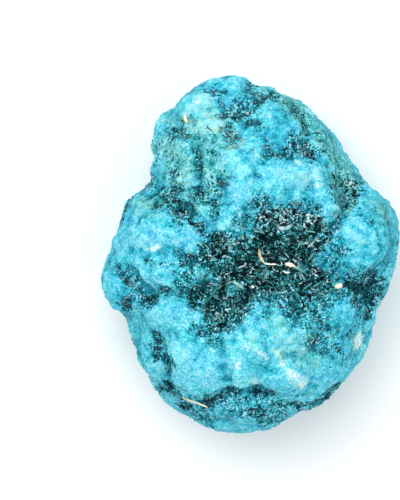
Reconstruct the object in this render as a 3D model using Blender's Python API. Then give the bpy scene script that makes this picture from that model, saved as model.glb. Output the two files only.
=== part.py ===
# Raw turquoise nugget: one lumpy stone, lying on its flattest side.
# Run it with blender --background --python part.py, or from Blender's text editor.
# Metres, +Z up. +Y runs towards the stone's narrow end. The origin is on the surface
# that the stone rests on, under the middle of its outline. Tables are in millimetres.
import math

import bmesh
import bpy
import numpy as np
from mathutils import Vector, noise

MM = 0.001

# The body is a rounded pebble, before any knob or hollow.
WAIST_HEIGHT = 9.4      # height of its widest section
CROWN_RISE = 9.6        # from the waist up to the top of the body, at its middle
CROWN_TAPER = 0.008     # share of that rise lost with each millimetre towards +Y
BELLY_DROP = 8.9        # from the waist down to the underside of the body
FULLNESS = 2.4          # 2 gives an ellipsoid, more gives a fuller, boxier pebble
CUBE_CUTS = 59          # the pebble starts as a cube with this many cuts along each edge
FACES_KEPT = 0.22       # share of its triangles that stay, most of them along the creases

# Outline of the waist from above: bearing in degrees, anticlockwise from +X, and radius.
WAIST = [
    (0, 14.3), (11, 14.3), (20, 14.2), (29, 13.5), (38, 13.1), (47, 13.1), (57, 14.0),
    (68, 15.3), (80, 16.1), (90, 16.8), (100, 17.2), (112, 17.0), (123, 15.6), (131, 14.1),
    (139, 12.7), (149, 12.4), (157, 13.0), (168, 12.6), (178, 13.5), (190, 14.4),
    (200, 14.1), (209, 13.5), (220, 14.2), (232, 15.7), (244, 16.6), (256, 17.4),
    (268, 17.2), (281, 16.6), (294, 16.0), (307, 15.3), (320, 14.1), (335, 13.4),
    (348, 14.0),
]

# Knobs on the upper side: x, y of the middle, half length, half width, turn of the long
# axis in degrees anticlockwise from +X, and rise over the body.
UPPER_KNOBS = [
    # narrow end
    (-5.0, 14.7, 2.6, 2.3, 20, 1.5),
    (-3.5, 16.7, 0.9, 0.8, 0, 1.0),
    (-1.7, 16.7, 1.5, 1.2, 10, 1.2),
    (-2.1, 15.1, 1.0, 0.9, 0, 0.9),
    (0.0, 15.8, 1.1, 1.3, 60, 0.8),
    (-4.6, 12.5, 2.1, 1.0, -8, 1.2),
    (-8.8, 12.9, 1.5, 1.3, 60, 1.1),
    # right shoulder
    (2.5, 12.9, 3.0, 2.6, 110, 1.5),
    (6.6, 12.4, 3.6, 1.6, -55, 0.6),
    # middle ridges, round the top of the dark basin
    (-1.1, 9.4, 2.4, 2.3, 90, 1.5),
    (-0.7, 6.4, 1.9, 1.7, 60, 1.3),
    (-2.4, 3.6, 2.2, 1.3, 62, 1.1),
    (2.4, 7.6, 2.2, 1.7, 20, 1.2),
    (5.2, 7.9, 2.6, 1.8, 5, 1.6),
    (7.5, 4.9, 2.5, 1.1, 100, 1.2),
    # speckled slope left of the ridges
    (-7.0, 10.4, 1.6, 1.2, 80, 0.7),
    (-6.6, 7.7, 1.3, 1.2, 60, 0.9),
    (-8.9, 8.8, 1.3, 1.0, 80, 0.6),
    (-4.1, 8.3, 1.2, 0.9, 80, 0.6),
    (-4.6, 4.6, 1.3, 0.9, 120, 0.6),
    # left lobe
    (-9.2, 2.0, 5.0, 2.5, 0, 1.7),
    (-10.3, 4.8, 2.0, 1.0, 12, 0.8),
    (-8.5, -1.8, 3.3, 1.8, -6, 1.0),
    (-13.4, -2.9, 3.3, 1.6, 96, 1.5),
    (-5.2, -1.7, 1.1, 1.0, 0, 0.5),
    # right lobe
    (11.4, 2.4, 3.8, 2.7, 100, 2.0),
    (11.8, 5.6, 1.6, 1.4, 130, 0.9),
    (7.9, -0.3, 1.7, 1.4, 60, 0.6),
    # lower left
    (-8.1, -6.0, 3.2, 1.8, -4, 1.6),
    (-5.5, -11.0, 3.6, 2.9, 118, 2.0),
    (-9.8, -10.3, 2.6, 1.3, 116, 1.0),
    (-11.4, -7.6, 1.6, 0.9, 110, 0.8),
    (-7.2, -15.0, 2.0, 1.2, 140, 0.8),
    # broad lower lump, and the ledge under it
    (0.6, -8.6, 3.6, 2.9, 20, 1.7),
    (3.9, -8.0, 2.4, 2.0, -20, 1.8),
    (-1.2, -11.2, 2.0, 2.2, 0, 1.8),
    (3.0, -11.7, 3.2, 2.3, -25, 2.0),
    (0.2, -15.6, 4.2, 1.5, -2, 0.7),
    (5.9, -14.0, 2.4, 1.1, 25, 1.0),
    # lower right slope
    (9.2, -5.6, 1.9, 1.6, -40, 1.1),
    (8.6, -8.9, 2.6, 1.9, 120, 0.8),
    (8.2, -11.7, 2.0, 1.4, 130, 0.8),
]

# Knobs round the side: bearing in degrees, height, half length along the waist, half
# height, turn in degrees, and rise over the body.
SIDE_KNOBS = [
    (14, 8.6, 3.4, 3.2, 10, 0.9),
    (27, 12.6, 1.8, 1.2, 30, 0.6),
    (50, 8.0, 4.4, 3.0, -12, 0.9),
    (64, 12.2, 2.4, 1.2, -20, 0.6),
    (76, 6.4, 3.2, 2.6, 8, 0.7),
    (86, 3.6, 2.6, 1.6, 0, 0.9),
    (98, 9.0, 4.2, 3.4, 0, 0.9),
    (112, 13.0, 1.7, 1.2, 30, 0.6),
    (127, 7.6, 2.1, 3.0, 20, 1.0),
    (136, 12.0, 1.6, 1.3, -30, 0.7),
    (150, 5.2, 2.4, 1.7, 0, 0.8),
    (168, 8.2, 3.4, 3.0, -10, 1.0),
    (191, 7.4, 3.0, 3.2, 0, 1.0),
    (205, 3.8, 2.0, 1.4, 10, 0.9),
    (219, 8.2, 3.6, 3.0, 14, 0.9),
    (232, 3.6, 2.4, 1.5, 20, 1.0),
    (241, 7.8, 2.8, 3.2, -8, 0.9),
    (256, 12.0, 2.2, 1.1, -6, 0.7),
    (262, 5.0, 2.4, 1.6, -14, 1.2),
    (268, 8.6, 4.0, 3.0, 4, 0.8),
    (277, 11.4, 1.8, 1.4, 20, 0.9),
    (283, 3.8, 2.6, 1.5, 8, 1.1),
    (296, 8.0, 2.6, 2.8, -16, 0.9),
    (307, 12.4, 1.9, 1.2, -20, 0.7),
    (312, 3.8, 2.0, 1.4, 14, 0.9),
    (319, 8.6, 4.0, 3.0, 8, 0.9),
    (334, 11.8, 2.4, 1.4, 15, 0.8),
    (342, 6.0, 3.0, 2.4, -6, 0.8),
    (356, 12.0, 1.9, 1.4, -12, 0.6),
]

# Knobs on the underside, in the same terms as the upper ones. The ones that reach the
# ground are worn flat there, and the stone stands on them.
UNDER_KNOBS = [
    (0.6, 0.4, 5.4, 4.2, 25, 1.5),
    (6.4, 7.6, 4.6, 3.4, 130, 1.6),
    (-5.4, 8.2, 4.4, 3.2, 50, 1.6),
    (-8.2, 0.6, 4.0, 3.2, 80, 1.3),
    (-5.6, -7.6, 5.2, 3.8, 62, 1.8),
    (3.6, -8.8, 5.0, 3.6, 165, 1.7),
    (9.2, -1.8, 3.8, 3.4, 70, 1.5),
    (0.4, 13.6, 4.4, 2.6, 8, 1.2),
    (-0.8, -14.4, 4.6, 2.4, -6, 1.2),
    (9.0, -9.4, 3.2, 2.6, 120, 1.0),
    (-10.0, 4.4, 2.8, 2.0, 60, 0.9),
    (0.6, 8.0, 2.8, 2.2, 80, 0.8),
    (-10.6, -6.0, 2.8, 2.0, 105, 0.8),
]

# Hollows, in the same terms as the knobs, with the depth as the rise.
UPPER_HOLLOWS = [
    (2.6, 1.6, 5.4, 3.4, 30, 1.5),
    (-2.4, -3.2, 4.6, 2.8, 60, 1.2),
    (4.6, -2.4, 3.6, 1.8, -10, 0.9),
    (12.0, -4.0, 3.0, 2.4, 60, 1.2),
    (-6.9, 4.4, 1.6, 1.1, -40, 1.0),
    (-9.4, 6.9, 2.2, 1.4, 30, 0.9),
    (9.4, 6.2, 2.4, 1.2, 100, 0.8),
    (5.6, 10.6, 2.2, 1.0, -12, 0.6),
    (-8.3, -12.9, 2.4, 0.8, -42, 0.9),
    (-11.4, -3.2, 2.6, 0.9, -48, 0.7),
]
UNDER_HOLLOWS = [
    (-1.6, -4.4, 2.6, 1.2, 20, 0.9),
    (4.4, 3.6, 2.4, 1.0, 50, 0.8),
    (-3.4, 4.0, 2.6, 1.0, 120, 0.8),
    (-6.6, 12.0, 2.4, 1.4, 50, 0.8),
    (5.0, -13.0, 3.0, 1.4, 25, 0.8),
]

# Narrow seams on the upper side: half width, depth, and the x, y of the points passed.
SEAMS = [
    (0.8, 0.9, (-7.0, 4.6), (-5.6, 3.3), (-4.2, 1.8)),
    (0.7, 0.5, (-11.6, 0.0), (-9.0, -0.1), (-6.4, 0.1)),
    (0.9, 1.0, (-13.4, -0.8), (-12.0, -2.3), (-10.4, -4.2), (-8.4, -4.0)),
    (0.9, 1.0, (-9.6, -7.6), (-9.0, -9.2), (-8.3, -10.8), (-8.2, -12.6), (-6.7, -14.0)),
    (0.8, 0.9, (-6.7, -14.0), (-4.4, -15.0), (-3.4, -14.2), (-1.0, -13.7), (1.8, -13.5)),
    (0.8, 0.7, (2.6, -15.0), (5.4, -14.9), (7.4, -14.2), (9.0, -12.9)),
    (0.7, 0.5, (-5.4, 11.2), (-5.2, 9.0), (-4.9, 6.6), (-5.6, 5.2)),
    (0.8, 0.6, (0.4, 17.0), (-0.4, 15.2), (-1.4, 14.0), (0.6, 13.0)),
    (0.7, 0.4, (-3.0, -8.2), (-2.9, -10.2), (-2.6, -12.6)),
    (0.9, 0.7, (9.2, 8.2), (9.2, 5.8), (8.7, 3.6), (7.2, 1.8)),
]

KNOB_SPREAD = 1.12      # knobs reach this much further than the tables say, and so meet
KNOB_RISE = 0.85        # and rise this much of what the tables say
CREASE = 0.25           # how softly neighbouring knobs meet
KNOB_FLATNESS = 2.4     # 2 gives a domed knob, more gives a flatter one with steeper sides
WANDER = 0.8            # how far the edges of the knobs stray from ellipses
WANDER_SIZE = 3.0
WEATHERING = 0.2        # shallow unevenness over the whole stone
WEATHERING_SIZE = 1.8
NOISE_SEED = 5          # both kinds of unevenness come from one seeded noise

GROUND_SIZE = 60.0      # block that wears the lowest knobs flat

TURQUOISE = (0.06, 0.52, 0.66, 1.0)
ROUGHNESS = 0.5


def clear_scene():
    for old in list(bpy.data.objects):
        bpy.data.objects.remove(old)


def waist_radius(bearing):
    """Radius of the waist at bearings in radians, on one smooth closed curve."""
    turns = np.radians([b for b, _ in WAIST])
    radii = np.array([r for _, r in WAIST])
    bearing = np.mod(bearing, 2 * math.pi)
    after = np.searchsorted(turns, bearing, side="right")
    before, start, end, beyond = ((after + step) % len(WAIST) for step in (-2, -1, 0, 1))
    span = np.mod(turns[end] - turns[start], 2 * math.pi)
    t = np.mod(bearing - turns[start], 2 * math.pi) / span
    a, b, c, d = radii[before], radii[start], radii[end], radii[beyond]
    # Catmull-Rom, through the two points on each side
    return b + t * (c - a + t * (2 * a - 5 * b + 4 * c - d + t * (3 * (b - c) + d - a))) / 2


def crown_rise(y):
    return CROWN_RISE * (1 - CROWN_TAPER * y)


def pebble_points(directions):
    """Where the body's surface lies for unit directions from the middle of its waist."""
    bearing = np.arctan2(directions[:, 1], directions[:, 0])
    level = np.hypot(directions[:, 0], directions[:, 1]) ** (2 / FULLNESS)
    reach = waist_radius(bearing) * level
    x, y = reach * np.cos(bearing), reach * np.sin(bearing)
    share = np.abs(directions[:, 2]) ** (2 / FULLNESS)
    rise = share * np.where(directions[:, 2] > 0, crown_rise(y), -BELLY_DROP)
    return np.stack([x, y, WAIST_HEIGHT + rise], axis=1)


def level_at(x, y):
    """Share of the full rise or drop that the body has over or under x, y."""
    share = math.hypot(x, y) / float(waist_radius(math.atan2(y, x)))
    return max(0.0, 1 - share**FULLNESS) ** (1 / FULLNESS)


def upper_point(x, y):
    return np.array([x, y, WAIST_HEIGHT + crown_rise(y) * level_at(x, y)])


def under_point(x, y):
    return np.array([x, y, WAIST_HEIGHT - BELLY_DROP * level_at(x, y)])


def side_point(bearing, height):
    """The body's point at a bearing in degrees and a height."""
    bearing = math.radians(bearing)
    full = CROWN_RISE if height > WAIST_HEIGHT else BELLY_DROP
    level = 1 - (abs(height - WAIST_HEIGHT) / full) ** FULLNESS
    reach = float(waist_radius(bearing)) * level ** (1 / FULLNESS)
    return np.array([reach * math.cos(bearing), reach * math.sin(bearing), height])


def cube_sphere():
    """A unit sphere of even quads, made from a cube."""
    sphere = bmesh.new()
    bmesh.ops.create_cube(sphere, size=2.0)
    bmesh.ops.subdivide_edges(sphere, edges=sphere.edges[:], cuts=CUBE_CUTS, use_grid_fill=True)
    for vert in sphere.verts:
        # the tangent keeps the quads near the cube's corners as large as the rest
        vert.co = Vector([math.tan(c * math.pi / 4) for c in vert.co]).normalized()
    return sphere


def place(sphere, points):
    for vert, point in zip(sphere.verts, points):
        vert.co = point
    sphere.normal_update()


def noise_at(points, size):
    noise.seed_set(NOISE_SEED)
    return np.array([noise.noise_vector(Vector(point) / size) for point in points])


class Body:
    """The plain pebble: its points, their normals, and the points as the knobs see them."""

    def __init__(self, points, normals):
        self.points = points
        self.normals = normals
        # moved a little by smooth noise, so that no knob's edge is a true ellipse
        self.strayed = points + WANDER * noise_at(points, WANDER_SIZE)

    def closeness(self, middle, half_length, half_width, turn, upright=False):
        """1 in the middle of a knob or hollow, 0 along its edge, less than 0 outside."""
        normal = self.normals[np.argmin(((self.points - middle) ** 2).sum(axis=1))]
        across = np.cross((0, 0, 1), normal) if upright else np.array((1.0, 0, 0))
        over = np.cross(normal, across)
        over /= np.linalg.norm(over)
        across = np.cross(over, normal)
        turn = math.radians(turn)
        offset = self.strayed - middle
        along_share = offset @ (math.cos(turn) * across + math.sin(turn) * over) / half_length
        over_share = offset @ (math.cos(turn) * over - math.sin(turn) * across) / half_width
        depth_share = offset @ normal / max(half_length, half_width)
        squared = along_share**2 + over_share**2 + depth_share**2
        return 1 - squared ** (KNOB_FLATNESS / 2)

    def knob(self, middle, half_length, half_width, turn, rise, upright=False):
        spread = (half_length * KNOB_SPREAD, half_width * KNOB_SPREAD, turn, upright)
        return rise * KNOB_RISE * self.closeness(middle, *spread)

    def hollow(self, middle, half_length, half_width, turn, depth):
        return depth * np.clip(self.closeness(middle, half_length, half_width, turn), 0, 1)

    def seam(self, half_width, depth, *plan):
        """Depth of a groove that runs straight from each point of the plan to the next."""
        route = [upper_point(x, y) for x, y in plan]
        nearest = np.full(len(self.points), np.inf)
        for start, end in zip(route, route[1:]):
            run = end - start
            share = np.clip((self.strayed - start) @ run / (run @ run), 0, 1)
            away = np.linalg.norm(self.strayed - start - share[:, None] * run, axis=1)
            nearest = np.minimum(nearest, away)
        return depth * np.clip(1 - (nearest / half_width) ** 2, 0, 1)


def knob_relief(body):
    """Height of the knobs over the body. Where two meet, the higher one wins, softly."""
    reliefs = [np.zeros(len(body.points))]
    for x, y, *shape in UPPER_KNOBS:
        reliefs.append(body.knob(upper_point(x, y), *shape))
    for x, y, *shape in UNDER_KNOBS:
        reliefs.append(body.knob(under_point(x, y), *shape))
    for bearing, height, *shape in SIDE_KNOBS:
        reliefs.append(body.knob(side_point(bearing, height), *shape, upright=True))
    return CREASE * np.log(np.exp(np.array(reliefs) / CREASE).sum(axis=0))


def hollow_depth(body):
    depth = np.zeros(len(body.points))
    for x, y, *shape in UPPER_HOLLOWS:
        depth += body.hollow(upper_point(x, y), *shape)
    for x, y, *shape in UNDER_HOLLOWS:
        depth += body.hollow(under_point(x, y), *shape)
    return depth + sum(body.seam(*seam) for seam in SEAMS)


def nugget_points(body):
    """The finished surface, with its knobs, hollows and weathering."""
    weathering = WEATHERING * noise_at(body.points, WEATHERING_SIZE)[:, 0]
    relief = knob_relief(body) - hollow_depth(body) + weathering
    return body.points + body.normals * relief[:, None]


def turquoise():
    material = bpy.data.materials.new("turquoise")
    material.use_nodes = True
    surface = material.node_tree.nodes["Principled BSDF"]
    surface.inputs["Base Color"].default_value = TURQUOISE
    surface.inputs["Roughness"].default_value = ROUGHNESS
    surface.inputs["Metallic"].default_value = 0.0
    return material


def make_nugget():
    sphere = cube_sphere()
    directions = np.array([vert.co for vert in sphere.verts])
    points = pebble_points(directions)
    place(sphere, points)
    body = Body(points, np.array([vert.normal for vert in sphere.verts]))
    place(sphere, nugget_points(body) * MM)
    nugget = add_object("turquoise_nugget", sphere)
    nugget.data.materials.append(turquoise())
    fewer = nugget.modifiers.new("fewer faces", "DECIMATE")
    fewer.ratio = FACES_KEPT
    return nugget


def wear_flat(nugget):
    """Cuts the lowest knobs off along the ground, so that the stone stands on flats."""
    slab = bmesh.new()
    bmesh.ops.create_cube(slab, size=GROUND_SIZE * MM)
    bmesh.ops.translate(slab, verts=slab.verts, vec=(0, 0, -GROUND_SIZE / 2 * MM))
    ground = add_object("ground", slab)
    ground.hide_render = True
    ground.display_type = "WIRE"
    worn = nugget.modifiers.new("worn flat", "BOOLEAN")
    worn.operation = "DIFFERENCE"
    worn.object = ground


def add_object(name, shape):
    mesh = bpy.data.meshes.new(name)
    shape.to_mesh(mesh)
    shape.free()
    mesh.shade_smooth()
    made = bpy.data.objects.new(name, mesh)
    bpy.context.scene.collection.objects.link(made)
    return made


clear_scene()
wear_flat(make_nugget())
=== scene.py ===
import math
from functools import partial

import bmesh
import bpy
import numpy as np
from mathutils import Matrix, Vector, noise
from mathutils.bvhtree import BVHTree


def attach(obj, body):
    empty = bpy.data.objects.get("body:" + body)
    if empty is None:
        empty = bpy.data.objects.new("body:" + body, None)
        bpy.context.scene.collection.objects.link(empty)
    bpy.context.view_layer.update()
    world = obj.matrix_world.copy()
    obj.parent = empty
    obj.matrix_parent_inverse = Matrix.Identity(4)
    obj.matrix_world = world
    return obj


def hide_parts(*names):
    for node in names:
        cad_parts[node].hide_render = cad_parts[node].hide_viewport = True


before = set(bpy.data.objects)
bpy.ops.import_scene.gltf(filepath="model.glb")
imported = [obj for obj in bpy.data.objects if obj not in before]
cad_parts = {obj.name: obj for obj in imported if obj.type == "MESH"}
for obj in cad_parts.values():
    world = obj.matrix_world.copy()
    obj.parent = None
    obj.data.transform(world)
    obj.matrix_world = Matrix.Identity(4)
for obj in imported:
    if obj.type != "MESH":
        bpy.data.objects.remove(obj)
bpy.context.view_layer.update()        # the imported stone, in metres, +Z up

mm = 0.001               # pieces are shaped in millimetres, and scaled once at the end


def smoothStep(low, high, values):
    share = np.clip((values - low) / (high - low), 0, 1)
    return share * share * (3 - 2 * share)


def noiseAt(points, size, shift=0.0):
    return np.array([noise.noise(Vector(p)) for p in points / size + shift])


def cellsAt(points, size):
    # how far each point is from the middle of its cell, a number from 0 to 1 for that cell, and
    # how much further away the next cell's middle is
    found = [noise.voronoi(Vector(p)) for p in points / size]
    away = np.array([distances[0] for distances, _ in found])
    further = np.array([distances[1] for distances, _ in found])
    middles = np.array([spots[0] for _, spots in found])
    return away, np.abs(np.sin(middles @ (12.9898, 78.233, 37.719)) * 437.58) % 1, further - away


def linked(name, mesh):
    made = bpy.data.objects.new(name, mesh)
    bpy.context.scene.collection.objects.link(made)
    return made


def plainMesh(worked, name):
    # the object as its modifiers leave it, as a new object with none
    graph = bpy.context.evaluated_depsgraph_get()
    mesh = bpy.data.meshes.new_from_object(worked.evaluated_get(graph))
    bpy.data.objects.remove(worked)
    mesh.name = name
    return linked(name, mesh)


def pointsOf(mesh):
    flat = np.empty(len(mesh.vertices) * 3, np.float32)
    mesh.vertices.foreach_get("co", flat)
    return flat.reshape(-1, 3).astype(float)


def normalsOf(mesh):
    flat = np.empty(len(mesh.vertices) * 3, np.float32)
    mesh.vertex_normals.foreach_get("vector", flat)
    return flat.reshape(-1, 3).astype(float)


def setPoints(mesh, points):
    mesh.vertices.foreach_set("co", points.astype(np.float32).ravel())
    mesh.update()


def setMask(mesh, name, values):
    mask = mesh.attributes.new(name, "FLOAT", "POINT")
    mask.data.foreach_set("value", np.clip(values, 0, 1).astype(np.float32))


def neighbourMean(mesh):
    # a function that averages values over each point's neighbours
    ends = np.empty(len(mesh.edges) * 2, np.int32)
    mesh.edges.foreach_get("vertices", ends)
    a, b = ends.reshape(-1, 2).T
    size = len(mesh.vertices)
    count = np.maximum(np.bincount(a, minlength=size) + np.bincount(b, minlength=size), 1)

    def mean(values, rounds=1):
        for _ in range(rounds):
            columns = values.reshape(size, -1).T
            sums = [np.bincount(a, c[b], size) + np.bincount(b, c[a], size) for c in columns]
            values = (np.array(sums) / count).T.reshape(values.shape)
        return values

    return mean


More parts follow.
